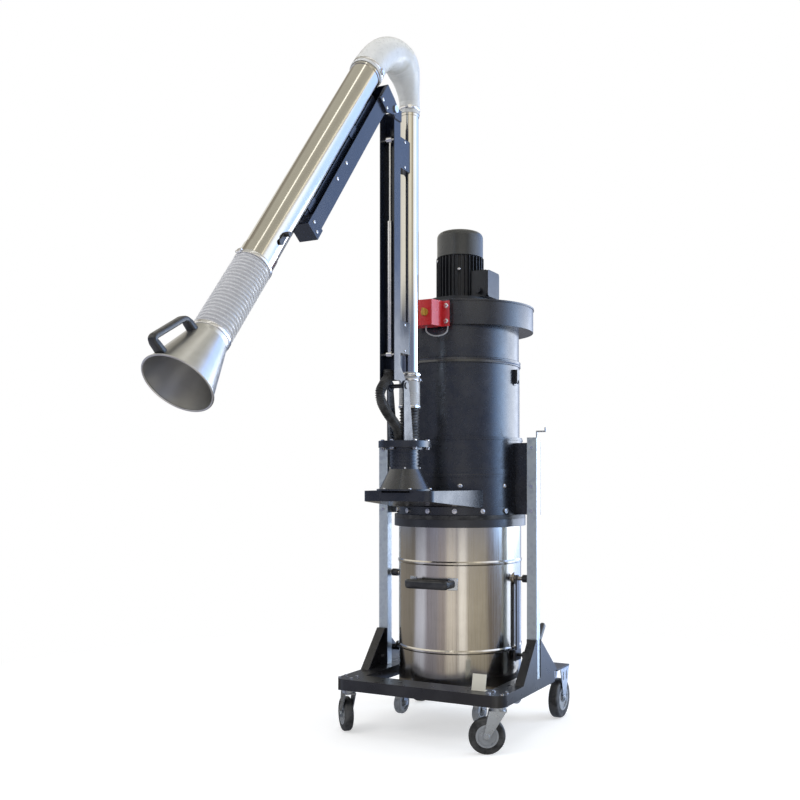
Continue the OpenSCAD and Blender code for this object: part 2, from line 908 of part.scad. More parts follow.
module container_wheel(x, y) {
    w = drum_wheel_w;
    flat = drum_wheel_r - tyre_round;
    color(hub_grey) on_axis() translate([x * drum_caster_x, y * drum_caster_y, drum_drop + drum_wheel_r])
        rotate(90) rotate([90, 0, 0]) difference() {
            up(-w / 2) rotate_extrude() {
                square([flat, w]);
                translate([0, tyre_round]) square([drum_wheel_r, w - 2 * tyre_round]);
                for (y = [tyre_round, w - tyre_round])
                    translate([flat, y]) circle(tyre_round);
            }
            for (side = [0, 1]) mirror([0, 0, side]) up(w / 2 - hub_dish)
                ring(drum_wheel_r * hub_share, hub_boss_r, hub_dish + over);
            up(-w) cylinder(r = axle_r + pin_slack, h = 2 * w);
        }
}

module container_wheel_1() container_wheel(-1, -1);
module container_wheel_2() container_wheel(1, -1);
module container_wheel_3() container_wheel(1, 1);
module container_wheel_4() container_wheel(-1, 1);

// The links that hang from the container's lugs to the release lever
module lift_links() {
    low = lever_pin_z - lever_pin_r - link_w / 2;
    color(cart_black) on_axis() both_sides() translate([link_in, 0, 0]) difference() {
        union() {
            translate([0, lug_y - link_w / 2, low]) cube([link_t, link_w, lug_z - low]);
            translate([0, lug_y, lug_z]) rod_x(link_w / 2, link_t);
            translate([0, lug_y - link_w, low]) cube([link_t, 2 * link_w, link_w + 2 * lever_pin_r]);
            translate([drum_r + lug_t + lug_pin_l - roller_l - link_gap - link_in, lug_y, lug_z])
                rod_x(roller_r, roller_l);
        }
        translate([-over, lug_y, lug_z]) rod_x(lug_pin_r + pin_slack, lug_pin_l + 2 * over);
        translate([-over, lever_pin_y - lever_pin_r - slip - slot_extra, lever_pin_z - lever_pin_r - slip])
            cube([link_t + 2 * over, 2 * lever_pin_r + slot_extra + 2 * slip, 2 * lever_pin_r + 2 * slip]);
    }
}

// The levers: an arm on each gusset's pin, from its link's slot to a grip behind the post
module release_lever() {
    color(cart_black) on_axis() both_sides() translate([lever_in, lever_pivot_y, lever_pivot_z]) {
        rotate([-lever_half_turn, 0, 0]) {
            translate([0, -lever_front_l, -lever_w / 2]) cube([lever_t, lever_front_l, lever_w]);
            translate([0, -lever_front_l, 0]) rod_x(lever_eye_r, lever_t);
        }
        rotate([lever_rise, 0, 0]) {
            up(-lever_w / 2) cube([lever_t, lever_rear_l - lever_grip_l / 2, lever_w]);
            translate([lever_t / 2, lever_rear_l, 0]) rod_front(lever_grip_r, lever_grip_l);
            translate([lever_t / 2, lever_rear_l, 0]) sphere(lever_grip_r);
        }
        rod_x(pivot_pin_r, rail_out - lever_in - gusset_t);
        rod_x(lever_hub_r, lever_t);
        translate([link_in + slip - lever_in, lever_pin_y - lever_pivot_y, lever_pin_z - lever_pivot_z])
            rod_x(lever_pin_r, lever_in - link_in);
    }
}

module container_seal() {
    color(rubber_black) on_axis() up(drum_top + rim_h + slip)
        ring(drum_r + rim_out - slip, drum_r - seal_in, seal_h);
}

// Right-hand bracket that carries the chamber on its post
module chamber_bracket() {
    difference() {
        union() {
            translate([0, bracket_y, chamber_z])
                cube([post_x + post_w / 2, bracket_t, bracket_top - chamber_z]);
            for (z = [chamber_z, bracket_top - bracket_t])
                translate([0, bracket_y, z]) cube([post_x - post_w / 2 - slip, bracket_lip, bracket_t]);
        }
        cylinder(r = lower_r - chamber_wall / 2, h = bracket_top + over);
        for (z = post_bolts) translate([post_x, bracket_y + 2 * bracket_t, z])
            rod_front(small_bolt_r + bolt_slack, 3 * bracket_t);
    }
}

module lower_chamber() {
    color(machine_black) on_axis() difference() {
        union() {
            up(chamber_z) ring(lower_r, lower_r - chamber_wall, lower_h);
            up(chamber_z) ring(lower_r + ring_out, lower_r - chamber_wall, ring_h);
            up(band_z) ring(lower_r + band_out, lower_r - chamber_wall, band_h);
            up(lower_top - flange_h) ring(lower_r + band_out, upper_r - 2 * chamber_wall, flange_h);
            both_sides() chamber_bracket();
        }
        translate([-duct_mouth_w / 2, -lower_r - ring_out - over, duct_top - duct_h - duct_drop + duct_wall])
            cube([duct_mouth_w, lower_r, duct_h + duct_drop - 2 * duct_wall]);
        for (i = [0:ring_bolt_count - 1]) rotate(ring_bolt_turn + i * 360 / ring_bolt_count)
            translate([lower_r / 2, 0, ring_bolt_z]) rod_x(small_bolt_r + bolt_slack, lower_r);
    }
}

module upper_chamber() {
    color(machine_black) on_axis() {
        up(lower_top) ring(upper_r, upper_r - chamber_wall, upper_h);
        up(lower_top) ring(lower_r, upper_r - chamber_wall, flange_h);
        up(upper_top - flange_h) ring(upper_r, upper_r - filter_ledge, flange_h);
        both_sides() translate([upper_r, 0, latch_z]) {
            translate([-over, -latch_w / 2, -latch_out])
                cube([latch_base_t + over, latch_w, latch_h + latch_out]);
            translate([0, -latch_w / 4 + latch_gap, -latch_pin_r * 2])
                cube([slip + latch_base_t + latch_out / 2, latch_w / 2 - 2 * latch_gap, 4 * latch_pin_r]);
            translate([slip + latch_base_t + latch_out / 2, latch_w / 2, 0]) rod_front(latch_pin_r, latch_w);
        }
    }
}

module filter_cover() {
    color(machine_black) on_axis() up(upper_top) {
        ring(cover_r, cover_r - chamber_wall, cover_h);
        ring(cover_r + cover_band_out, cover_r - chamber_wall, cover_band_h);
        up(cover_h - flange_h) ring(cover_r, eye_r, flange_h);
    }
}

// A pleated cartridge that hangs from its top plate on the upper chamber's ledge
module filter_cartridge() {
    r = filter_d / 2;
    bore = r * filter_bore_share;
    color([0.85, 0.84, 0.78]) on_axis() {
        up(upper_top) ring(cover_r - chamber_wall - slip, bore, filter_plate_h);
        up(upper_top - filter_h) difference() {
            cylinder(r = r, h = filter_h);
            up(base_t) cylinder(r = bore, h = filter_h);
            for (i = [0:pleat_count - 1]) rotate(i * 360 / pleat_count)
                translate([r - pleat_depth, -pleat_depth / 4, flange_h])
                    cube([2 * pleat_depth, pleat_depth / 2, filter_h - 2 * flange_h]);
        }
    }
}

// A toggle latch on the side: a lever on a pin that it carries
module cover_latch(side) {
    color(cart_black) on_axis() mirror([side < 0 ? 1 : 0, 0, 0])
        translate([upper_r + slip + latch_base_t, 0, latch_z]) difference() {
            union() {
                translate([latch_gap, -latch_w / 2, 0]) cube([latch_out - latch_gap, latch_w, latch_h]);
                translate([latch_out / 2, -latch_w / 2, 0]) rotate([-90, 0, 0])
                    cylinder(r = latch_out / 2 - latch_gap, h = latch_w);
            }
            translate([-over, -latch_w / 4, -latch_out])
                cube([latch_out + 2 * over, latch_w / 2, latch_out * 1.5 + latch_gap]);
            translate([latch_out / 2, latch_w, 0]) rod_front(latch_pin_r + pin_slack, 2 * latch_w);
        }
}

module cover_latch_left() cover_latch(-1);
module cover_latch_right() cover_latch(1);

module fan_housing() {
    spigot_z = fan_z + fan_h / 2;
    color(machine_black) on_axis() difference() {
        union() {
            translate([fan_x, fan_y, fan_z]) cylinder(r = fan_r, h = fan_h, $fn = 128);
            translate([fan_x, fan_y, fan_top - fan_lip_h])
                cylinder(r = fan_r + fan_lip, h = fan_lip_h, $fn = 128);
            translate([-pad_w / 2, -pad_y, fan_z + pad_z]) cube([pad_w, pad_y, fan_h - 2 * pad_z]);
            up(fan_top - over) cylinder(r = pedestal_r, h = pedestal_h + over);
            translate([exhaust_x, exhaust_end, spigot_z])
                rod_front(exhaust_d / 2 + exhaust_wall, exhaust_end);
        }
        translate([fan_x, fan_y, fan_z + fan_wall])
            cylinder(r = fan_r - fan_wall, h = fan_h - 2 * fan_wall, $fn = 128);
        up(fan_z - over) cylinder(r = eye_r, h = fan_h);
        up(fan_top - 2 * fan_wall) cylinder(r = shaft_collar_r + fan_wall, h = pedestal_h + 3 * fan_wall);
        translate([exhaust_x, exhaust_end + over, spigot_z]) rod_front(exhaust_d / 2, exhaust_end);
        both_sides() for (z = switch_bolt_share) translate([(switch_knee + switch_half) / 2,
            -pad_y + pad_y / 8, switch_z + z * switch_h])
            rod_front(small_bolt_r + bolt_slack, pad_y / 4);
    }
}

// The fan wheel: a back plate, a shroud ring, leaned blades and a hub
module impeller() {
    r = impeller_d / 2;
    top = fan_top - impeller_gap;
    low = fan_z + impeller_gap;
    color(steel) on_axis() difference() {
        union() {
            up(top - impeller_plate_t) cylinder(r = r, h = impeller_plate_t);
            up(low) ring(r, eye_r, impeller_plate_t);
            up(low + impeller_plate_t) cylinder(r = hub_r, h = top - low - impeller_plate_t);
            for (i = [0:blade_count - 1]) rotate(i * 360 / blade_count)
                translate([eye_r, -blade_t / 2, low]) rotate(blade_lean)
                    cube([(r - eye_r) * cos(blade_lean), blade_t, top - low]);
        }
        up(fan_z) cylinder(r = shaft_r + pin_slack, h = 2 * fan_h);
    }
}

module motor_body() {
    core = motor_r * motor_core_share;
    color(motor_grey) on_axis() difference() {
        union() {
            up(pedestal_top) cylinder(r = motor_flange_r, h = motor_flange_h);
            up(motor_z) cylinder(r = core, h = motor_h);
            for (i = [0:fin_count - 1]) rotate(i * 360 / fin_count)
                translate([core - over, -fin_t / 2, motor_z + fin_t])
                    cube([motor_r - core + over, fin_t, motor_h - end_cap_h - 2 * fin_t]);
            up(cowl_z - end_cap_h) cylinder(r = cowl_r - cowl_wall - slip, h = end_cap_h);
        }
        up(pedestal_top - over) cylinder(r = core / 2, h = motor_h + motor_flange_h - end_cap_h);
        up(pedestal_top) cylinder(r = shaft_r + pin_slack, h = 2 * motor_h);
        translate([core - end_cap_h / 2, -box_half - over, box_z - over])
            cube([box_x, 2 * box_half + 2 * over, box_h + 2 * over]);
    }
}

module motor_cowl() {
    top = cowl_z + cowl_h;
    color(motor_grey) on_axis() difference() {
        up(cowl_z - end_cap_h + slip) rotate_extrude($fn = 128) {
            h = cowl_h + end_cap_h - slip;
            translate([cowl_r - cowl_wall, 0]) square([cowl_wall, h - cowl_round]);
            intersection() {
                translate([cowl_r - cowl_round, h - cowl_round]) difference() {
                    circle(cowl_round);
                    circle(cowl_round - cowl_wall);
                }
                translate([cowl_r - cowl_round, h - cowl_round]) square(cowl_round);
            }
            translate([0, h - cowl_wall]) square([cowl_r - cowl_round, cowl_wall]);
        }
        for (i = [0:cowl_slot_count - 1]) rotate(i * 360 / cowl_slot_count)
            translate([hub_r, -cowl_slot_w / 2, top - cowl_round])
                cube([cowl_r - cowl_round - hub_r - fin_t, cowl_slot_w, cowl_round + over]);
    }
}

module terminal_box() {
    core = motor_r * motor_core_share - end_cap_h / 2;
    color(motor_grey) on_axis() {
        translate([core + slip, -box_half, box_z]) cube([box_x - lid_t - core - slip, 2 * box_half, box_h]);
        translate([box_x - lid_t + slip, 0, box_z + box_h / 2]) rotate([0, 90, 0])
            linear_extrude(lid_t - slip) round_rect(box_h, 2 * box_half, plate_corner_r);
        translate([(core + box_x) / 2, -box_half - slip, box_z + gland_r * 2]) rod_front(gland_r, gland_l);
    }
}

// Motor shaft with its cooling fan
module rotor() {
    low = fan_z + impeller_gap;
    fan_low = cowl_z + slip + cool_fan_h / 2;
    color(steel) on_axis() {
        up(low) cylinder(r = shaft_r, h = fan_low + cool_fan_h - low);
        up(fan_low) cylinder(r = hub_r - impeller_plate_t, h = cool_fan_h);
        for (i = [0:blade_count - 1]) rotate(i * 360 / blade_count)
            translate([shaft_collar_r, -cool_blade_t / 2, fan_low])
                cube([cool_fan_r - shaft_collar_r, cool_blade_t, cool_fan_h]);
    }
}

module switch_box() {
    outer = [[switch_half, pad_y], [switch_half, pad_y + switch_t], [switch_knee, pad_y + switch_t],
        [switch_face, switch_out], [-switch_face, switch_out], [-switch_knee, pad_y + switch_t],
        [-switch_half, pad_y + switch_t], [-switch_half, pad_y]];
    inner = [[switch_knee - switch_t, pad_y - over], [switch_knee - switch_t, pad_y],
        [switch_face - switch_t / 2, switch_out - switch_t], [-switch_face + switch_t / 2,
            switch_out - switch_t],
        [-switch_knee + switch_t, pad_y], [-switch_knee + switch_t, pad_y - over]];
    color(signal_red) on_axis() mirror([0, 1, 0]) difference() {
        up(switch_z) linear_extrude(switch_h) polygon(outer);
        up(switch_z + switch_t) linear_extrude(switch_h - 2 * switch_t) polygon(inner);
        translate([knob_x, switch_out - 2 * switch_t, knob_z]) rotate([-90, 0, 0])
            cylinder(r = knob_stem_r + pin_slack, h = 3 * switch_t);
        both_sides() for (z = switch_bolt_share)
            translate([(switch_knee + switch_half) / 2, 0, switch_z + z * switch_h]) rotate([-90, 0, 0])
                cylinder(r = small_bolt_r + bolt_slack, h = switch_out);
    }
    color(zinc) on_axis() both_sides() for (z = switch_bolt_share)
        translate([(switch_knee + switch_half) / 2, -pad_y - switch_t - slip / 2, switch_z + z * switch_h])
            screw_back(switch_t + pad_y / 10);
}

module switch_knob() {
    color([0.9, 0.75, 0.1]) on_axis() translate([knob_x, -switch_out - slip, knob_z]) {
        rod_front(knob_r, knob_h);
        translate([-knob_bar_w / 2, -knob_h - knob_bar_h, -knob_r])
            cube([knob_bar_w, knob_bar_h + over, 2 * knob_r]);
        translate([0, 2 * switch_t, 0]) rod_front(knob_stem_r, 2 * switch_t + over);
    }
}

// Points along a smooth curve through chosen points
function blend4(a, b, c, d, t) = 0.5 * ((2 * b) + (c - a) * t + (2 * a - 5 * b + 4 * c - d) * t * t
    + (3 * b - a - 3 * c + d) * t * t * t);
function along(route, u) = let (n = len(route) - 1, x = min(u * n, n - 0.000001), i = floor(x), t = x - i)
    blend4(route[max(i - 1, 0)], route[i], route[i + 1], route[min(i + 2, n)], t);
function unit(v) = v / norm(v);

// A tube along a curve: radii gives each ring's outer radius, bores its inner one if it has any
module swept_tube(path, radii, bores, sides) {
    n = len(path);
    side_dir = [1, 0, 0];
    function tangent(i) = unit(path[min(i + 1, n - 1)] - path[max(i - 1, 0)]);
    function across(i) = unit(side_dir - tangent(i) * (side_dir * tangent(i)));
    function up(i) = cross(tangent(i), across(i));
    function ring_at(i, r) = [for (k = [0:sides - 1]) path[i]
        + across(i) * r * cos(360 * k / sides) + up(i) * r * sin(360 * k / sides)];
    outer = [for (i = [0:n - 1]) each ring_at(i, radii[i])];
    inner = len(bores) > 0 ? [for (i = [0:n - 1]) each ring_at(i, bores[i])] : [];
    m = n * sides;
    function quad(a, b, c, d) = [[a, b, c], [a, c, d]];
    skin = [for (i = [0:n - 2], k = [0:sides - 1]) let (k2 = (k + 1) % sides)
        each quad(i * sides + k, (i + 1) * sides + k, (i + 1) * sides + k2, i * sides + k2)];
    lining = [for (i = [0:n - 2], k = [0:sides - 1]) let (k2 = (k + 1) % sides)
        each quad(m + i * sides + k, m + i * sides + k2, m + (i + 1) * sides + k2, m + (i + 1) * sides + k)];
    ends = [for (k = [0:sides - 1]) let (k2 = (k + 1) % sides, e = (n - 1) * sides)
        each concat(quad(k, k2, m + k2, m + k), quad(e + k2, e + k, m + e + k, m + e + k2))];
    if (len(bores) > 0) polyhedron(concat(outer, inner), concat(skin, lining, ends));
    else {
        e = (n - 1) * sides;
        caps = [for (k = [1:sides - 2]) each [[0, k, k + 1], [e, e + k + 1, e + k]]];
        polyhedron(outer, concat(skin, caps));
    }
}

// The thin lead below the switch box
lead_r = 2.5;
lead_steps = 24;
lead_sides = 8;
lead_route = [[10, -286, 1462], [11, -288, 1447], [22, -287, 1434], [44, -282, 1426],
    [66, -270, 1430], [76, -258, 1441], [77, -252, 1453], [77, -250, 1462]];
module switch_lead() {
    path = [for (i = [0:lead_steps]) along(lead_route, i / lead_steps)];
    color([0.45, 0.45, 0.46]) on_axis()
        swept_tube(path, [for (p = path) lead_r], [], lead_sides);
}

// Plan of the inlet duct, drawn in by an inset
module duct_plan(inset) {
    half = duct_w / 2 - inset;
    front = duct_front - inset;
    r = duct_corner_r - inset;
    polygon([[-half - duct_spread, 0], [-half - duct_spread, -lower_r * 0.7], [-half, -front + r],
        [-half + r, -front],
        [half - r, -front], [half, -front + r], [half + duct_spread, -lower_r * 0.7], [half + duct_spread,
            0]]);
    for (x = [-1, 1]) translate([x * (half - r), -front + r]) circle(r);
}

// Side view of the inlet duct, drawn in by an inset
module duct_side(inset) {
    rotate([90, 0, 90]) linear_extrude(cart_w, center = true) polygon([
        [-duct_front - over, duct_top - inset], [0, duct_top - inset],
        [0, duct_top - duct_h - duct_drop + inset], [-lower_r * 0.8, duct_top - duct_h - duct_drop + inset],
        [-duct_front - over, duct_top - duct_h + inset]]);
}

module inlet_duct() {
    color(machine_black) on_axis() difference() {
        intersection() {
            up(chamber_z) linear_extrude(duct_top) duct_plan(0);
            duct_side(0);
        }
        intersection() {
            up(chamber_z) linear_extrude(duct_top) duct_plan(duct_wall);
            duct_side(duct_wall);
        }
        up(chamber_z - over) cylinder(r = lower_r + slip, h = lower_h);
        up(chamber_z - over) cylinder(r = lower_r + ring_out + slip, h = ring_h + slip + over);
        translate([0, -swivel_out, duct_top - 2 * duct_wall]) cylinder(r = cone_r - neck_wall, h = duct_h);
    }
}

module inlet_cone() {
    flange_top = cone_z + cone_flange_h;
    color(machine_black) on_axis() translate([0, -swivel_out, 0]) difference() {
        union() {
            up(cone_z) cylinder(r = cone_flange_r, h = cone_flange_h);
            up(flange_top) cylinder(r1 = cone_r, r2 = neck_r, h = cone_h);
            up(neck_z - collar_h) cylinder(r = neck_r + collar_out, h = collar_h);
            up(neck_z - over) cylinder(r = neck_r, h = neck_h + over);
            for (i = [0:neck_ribs - 1]) up(neck_z + neck_h * (i + 0.5) / neck_ribs)
                cylinder(r = neck_r + neck_rib_out, h = neck_h / neck_ribs / 2);
            up(neck_top) cylinder(r = neck_lip_r, h = neck_lip_h);
        }
        up(cone_z - over) {
            cylinder(r = neck_r - neck_wall, h = neck_top + neck_lip_h - cone_z + 2 * over);
            cylinder(r1 = cone_r - neck_wall, r2 = neck_r - neck_wall, h = cone_h + cone_flange_h + over);
        }
    }
}

// Side ear of the swivel base, from the disc up to the base pivot
module ear_outline() {
    polygon([[ear_foot_y[0], disc_top - over], [ear_foot_y[1], disc_top - over],
        [pivot_y + ear_r, pivot_z], [pivot_y - ear_r, pivot_z]]);
    translate([pivot_y, pivot_z]) circle(ear_r);
}

module swivel_base() {
    cut = disc_h + 2 * over;
    color(machine_black) on_axis() {
        difference() {
            union() {
                translate([0, -swivel_out, disc_z]) cylinder(r = disc_d / 2, h = disc_h);
                both_sides() translate([ear_in, 0, 0]) rotate([90, 0, 90]) linear_extrude(ear_t)
                    ear_outline();
            }
            translate([0, lower_tube_y, disc_z - over]) cylinder(r = lower_tube_r - tube_wall, h = cut);
            for (a = disc_bolt_turns) translate([0, -swivel_out, disc_z - over]) rotate(a)
                translate([disc_bolt_r, 0, 0]) cylinder(r = bolt_r + bolt_slack, h = cut);
        }
        translate([-ear_in - ear_t, pivot_y, pivot_z]) rod_x(base_pin_r, 2 * (ear_in + ear_t));
        both_sides() translate([ear_in + ear_t, pivot_y, pivot_z]) rod_x(base_pin_r * 1.6, base_pin_r / 2);
    }
    color(zinc) on_axis() for (a = disc_bolt_turns) translate([0, -swivel_out, disc_z]) rotate(a)
        translate([disc_bolt_r, 0, -bolt_head_h]) {
            cylinder(r = bolt_head_r * 0.8, h = bolt_head_h);
            cylinder(r = bolt_r, h = disc_h + 2 * bolt_head_h);
        }
}

// The hose at the arm's base: a dark ribbed length, a pale cuff and two clips
module base_hose() {
    cuff_z = hose_low + (pivot_z - hose_low) * 0.62;
    rib_h = (cuff_z - hose_low) / spiral_ribs;
    bore = lower_tube_r - 2 * tube_wall;
    color(rubber_black) on_axis() translate([0, lower_tube_y, hose_low]) difference() {
        union() {
            cylinder(r = spiral_r - spiral_rib_out, h = cuff_z - hose_low);
            for (i = [0:spiral_ribs - 1]) up(i * rib_h)
                cylinder(r = spiral_r, h = rib_h / 2);
            up(cuff_z - hose_low) cylinder(r = cuff_r, h = lower_tube_low + hose_seat - cuff_z);
            for (z = [cuff_z - hose_low, lower_tube_low + hose_seat - hose_low - 2 * clip_h])
                up(z) cylinder(r = clip_r, h = clip_h);
        }
        up(-over) cylinder(r = bore, h = pivot_z);
        up(lower_tube_low - hose_low - slip) cylinder(r = lower_tube_r + slip, h = pivot_z);
    }
}

// Ribbed cable conduit from the beam's foot down to the disc
module conduit() {
    path = [for (i = [0:conduit_steps]) along(conduit_route, i / conduit_steps)];
    radii = [for (i = [0:conduit_steps]) i < 2 || i > conduit_steps - 2 ? conduit_r - conduit_rib
        : conduit_r - (i % 2) * conduit_rib];
    color(rubber_black) on_axis() swept_tube(path, radii, [for (p = path) conduit_bore], conduit_sides);
}

// A channel along +Z, open towards -Y
module beam_channel(l, depth) {
    difference() {
        translate([-beam_w / 2, -depth / 2, 0]) cube([beam_w, depth, l]);
        translate([-beam_w / 2 + beam_wall, -depth / 2 - over, -over])
            cube([beam_w - 2 * beam_wall, depth - beam_wall + over, l + 2 * over]);
    }
}

module lower_hinge_outline() {
    polygon([[beam_y - beam_depth / 2, beam_high - 2 * hinge_r], [web_y, beam_high - 2 * hinge_r],
        [web_y, beam_high], [elbow_y + hinge_r * 0.8, elbow_z + hinge_r * 0.6],
        [elbow_y - hinge_r, elbow_z]]);
    translate([elbow_y, elbow_z]) circle(hinge_r);
}

module lower_beam() {
    color(beam_black) on_axis() {
        difference() {
            union() {
                translate([0, beam_y, beam_low]) beam_channel(beam_high - beam_low, beam_depth);
                both_sides() translate([beam_w / 2 - beam_wall, 0, 0]) rotate([90, 0, 90]) {
                    linear_extrude(hinge_t + beam_wall) lower_hinge_outline();
                    linear_extrude(beam_wall) {
                        polygon([[web_y - beam_wall, beam_low], [pivot_y - ear_r, pivot_z],
                            [pivot_y, pivot_z - ear_r], [pivot_y + ear_r, pivot_z],
                            [web_y - beam_wall, beam_low + 3 * ear_r]]);
                        translate([pivot_y, pivot_z]) circle(ear_r);
                    }
                }
            }
            translate([-beam_w, pivot_y, pivot_z]) rod_x(base_pin_r + pin_slack, 2 * beam_w);
            translate([-beam_w, elbow_y, elbow_z]) rod_x(elbow_pin_r + pin_slack, 2 * beam_w);
        }
        for (i = [0, 1]) difference() {
            translate([-clamp_w / 2, web_y, lower_clamp_z[i] - lower_clamp_h[i] / 2])
                cube([clamp_w, lower_tube_y - web_y, lower_clamp_h[i]]);
            translate([0, lower_tube_y, beam_low]) cylinder(r = lower_tube_r + slip, h = lower_arm_h);
        }
    }
}

module lower_tube() {
    color(steel) on_axis() translate([0, lower_tube_y, 0]) {
        up(lower_tube_low) ring(lower_tube_r, lower_tube_r - tube_wall, lower_tube_high - lower_tube_low);
        up(lower_tube_high - collar_l) ring(lower_tube_r + collar_t, lower_tube_r - tube_wall / 2, collar_l);
    }
}

// The gas spring inside the lower beam, with an eye at each end
module gas_spring() {
    rod_top = spring_low + spring_l + spring_rod_l;
    half = beam_w / 2 - beam_wall - slip;
    color([0.5, 0.52, 0.55]) on_axis() translate([0, beam_y, 0]) {
        up(spring_low) cylinder(r = spring_r, h = spring_l);
        up(spring_low + spring_l - over) cylinder(r = spring_rod_r, h = spring_rod_l);
        for (z = [spring_low, rod_top]) {
            translate([-spring_r, 0, z]) rod_x(spring_eye_r, 2 * spring_r);
            translate([-half, 0, z]) rod_x(spring_rod_r, 2 * half);
        }
    }
}

module elbow_pin() {
    half = upper_hinge_in + hinge_t + slip;
    color(zinc) on_axis() translate([0, elbow_y, elbow_z]) {
        translate([-half, 0, 0]) rod_x(elbow_pin_r, 2 * half);
        both_sides() translate([half, 0, 0]) rod_x(elbow_head_r, elbow_head_h);
    }
}

// The bent hose over the elbow, from the upper tube's end to the lower tube's end
module elbow_hose() {
    from = [0, arm_y(-upper_tube_start - slip, upper_tube_up), arm_z(-upper_tube_start - slip,
        upper_tube_up)];
    to = [0, lower_tube_y, lower_tube_high + slip];
    way = [0, cos(arm_drop), sin(arm_drop)];
    a = from + elbow_lead * way;
    d = to + [0, 0, elbow_lead];
    b = a + elbow_pull * way;
    c = d + [0, -elbow_end_back, elbow_over];
    path = concat([from], [for (i = [0:elbow_steps]) let (t = i / elbow_steps, u = 1 - t)
        u * u * u * a + 3 * u * u * t * b + 3 * u * t * t * c + t * t * t * d], [to]);
    radii = concat([elbow_hose_r], [for (i = [0:elbow_steps]) let (t = i / elbow_steps)
        elbow_hose_r - (elbow_hose_r - elbow_tail_r) * max(0,
            t - elbow_taper_share) / (1 - elbow_taper_share)],
        [elbow_tail_r]);
    color(hose_grey) on_axis()
        swept_tube(path, radii, [for (q = radii) q - elbow_wall], elbow_sides);
}

// Puts children in the upper arm's frame
module in_upper_arm() {
    on_axis() translate([0, elbow_y, elbow_z]) rotate([arm_drop, 0, 0]) children();
}

module upper_beam() {
    deep = upper_beam_depth;
    low = upper_beam_up - deep / 2;
    high = low + deep;
    color(beam_black) in_upper_arm() difference() {
        union() {
            translate([0, upper_beam_start, upper_beam_up]) rotate([90, 0, 0]) rotate(180)
                beam_channel(upper_beam_end + upper_beam_start, deep);
            translate([-beam_w / 2, upper_beam_start - beam_wall, low]) cube([beam_w, beam_wall, deep]);
            translate([-strip_w / 2, -upper_beam_end, low + beam_wall - over])
                cube([strip_w, upper_beam_end - 3 * hinge_r, deep - beam_wall + over + strip_h]);
            both_sides() translate([upper_hinge_in, 0, 0]) rotate([90, 0, 90]) linear_extrude(hinge_t) {
                polygon([[upper_beam_start, low], [upper_beam_start, high], [-3 * hinge_r, high],
                    [-3 * hinge_r, low],
                    [-hinge_r, -hinge_r / 2], [hinge_r, 0]]);
                circle(hinge_r);
            }
            both_sides() translate([beam_w / 2 - beam_wall / 2, -3 * hinge_r, low])
                cube([upper_hinge_in - beam_w / 2 + beam_wall / 2 + hinge_t / 2,
                    3 * hinge_r + upper_beam_start, deep]);
            translate([-beam_w / 2 - end_cap_out, -upper_beam_end - end_cap_out, low - end_cap_out])
                cube([beam_w + 2 * end_cap_out, end_cap_l, deep + 2 * end_cap_out]);
            for (s = upper_clamp_at) translate([-clamp_w / 2, -s - upper_clamp_l / 2, high - over])
                cube([clamp_w, upper_clamp_l, upper_tube_up - high]);
        }
        translate([0, over, upper_tube_up]) rod_front(upper_tube_r + slip, upper_tube_l);
        translate([-beam_w, 0, 0]) rod_x(elbow_pin_r + pin_slack, 2 * beam_w);
        translate([-beam_w / 2 - hinge_t - slip, 0, 0])
            rod_x(hinge_r + 2 * slip, beam_w + 2 * hinge_t + 2 * slip);
    }
}

module upper_tube() {
    color(steel) in_upper_arm() translate([0, upper_tube_start, upper_tube_up]) difference() {
        union() {
            rod_front(upper_tube_r, upper_tube_l);
            rod_front(upper_tube_r + collar_t, collar_l);
            translate([0, collar_l - upper_tube_l, 0]) rod_front(upper_tube_r + collar_t, collar_l);
        }
        translate([0, over, 0]) rod_front(upper_tube_r - tube_wall, upper_tube_l + 2 * over);
        translate([-upper_tube_d, -upper_tube_start - damper_at, 0])
            rod_x(damper_pin_r + pin_slack, 2 * upper_tube_d);
    }
}

// Damper: a blade on a spindle across the upper tube, with its lever outside
module damper() {
    lever_x = upper_tube_r + collar_t + slip;
    color(cart_black) in_upper_arm() translate([0, -damper_at, upper_tube_up]) {
        translate([-upper_tube_r - collar_t, 0, 0])
            rod_x(damper_pin_r, upper_tube_r + collar_t + lever_x + damper_plate_t);
        up(-damper_plate_t / 2) cylinder(r = upper_tube_r - tube_wall - blade_slack, h = damper_plate_t);
        translate([lever_x, 0, 0]) rod_x(damper_plate_w / 2 + damper_pin_r / 2, damper_plate_t);
        translate([lever_x, 0, -damper_plate_w / 2]) cube([damper_plate_t, damper_plate_l, damper_plate_w]);
        translate([lever_x, damper_plate_l, 0]) rod_x(damper_plate_w / 2, damper_plate_t);
        translate([lever_x, damper_plate_l, 0]) rod_x(damper_knob_r, damper_knob_l);
    }
}

// Puts children at the start of the ribbed hose, with -Y along it
module in_wrist() {
    in_upper_arm() translate([0, -wrist_start, upper_tube_up]) rotate([wrist_turn, 0, 0]) children();
}

module wrist_hose() {
    r = wrist_d / 2;
    pitch = (wrist_l - 2 * wrist_end_l) / wrist_ribs;
    outer = concat([[r, -wrist_spare], [r, wrist_end_l], [r - wrist_rib, wrist_end_l]],
        [for (i = [0:wrist_ribs - 1]) each [[r, wrist_end_l + (i + 0.5) * pitch],
            [r - wrist_rib, wrist_end_l + (i + 1) * pitch]]],
        [[r, wrist_l - wrist_end_l], [r, wrist_l + wrist_spare]]);
    bore = r - wrist_rib - wrist_wall;
    block = [2 * wrist_d, wrist_d, 2 * wrist_d];
    color(hose_grey) difference() {
        in_wrist() rotate([90, 0, 0]) rotate_extrude()
            polygon(concat(outer, [[bore, wrist_l + wrist_spare], [bore, -wrist_spare]]));
        in_upper_arm() translate([-wrist_d, -wrist_start, upper_tube_up - wrist_d]) cube(block);
        in_hood() translate([-wrist_d, slip - wrist_d, -wrist_d]) cube(block);
    }
}

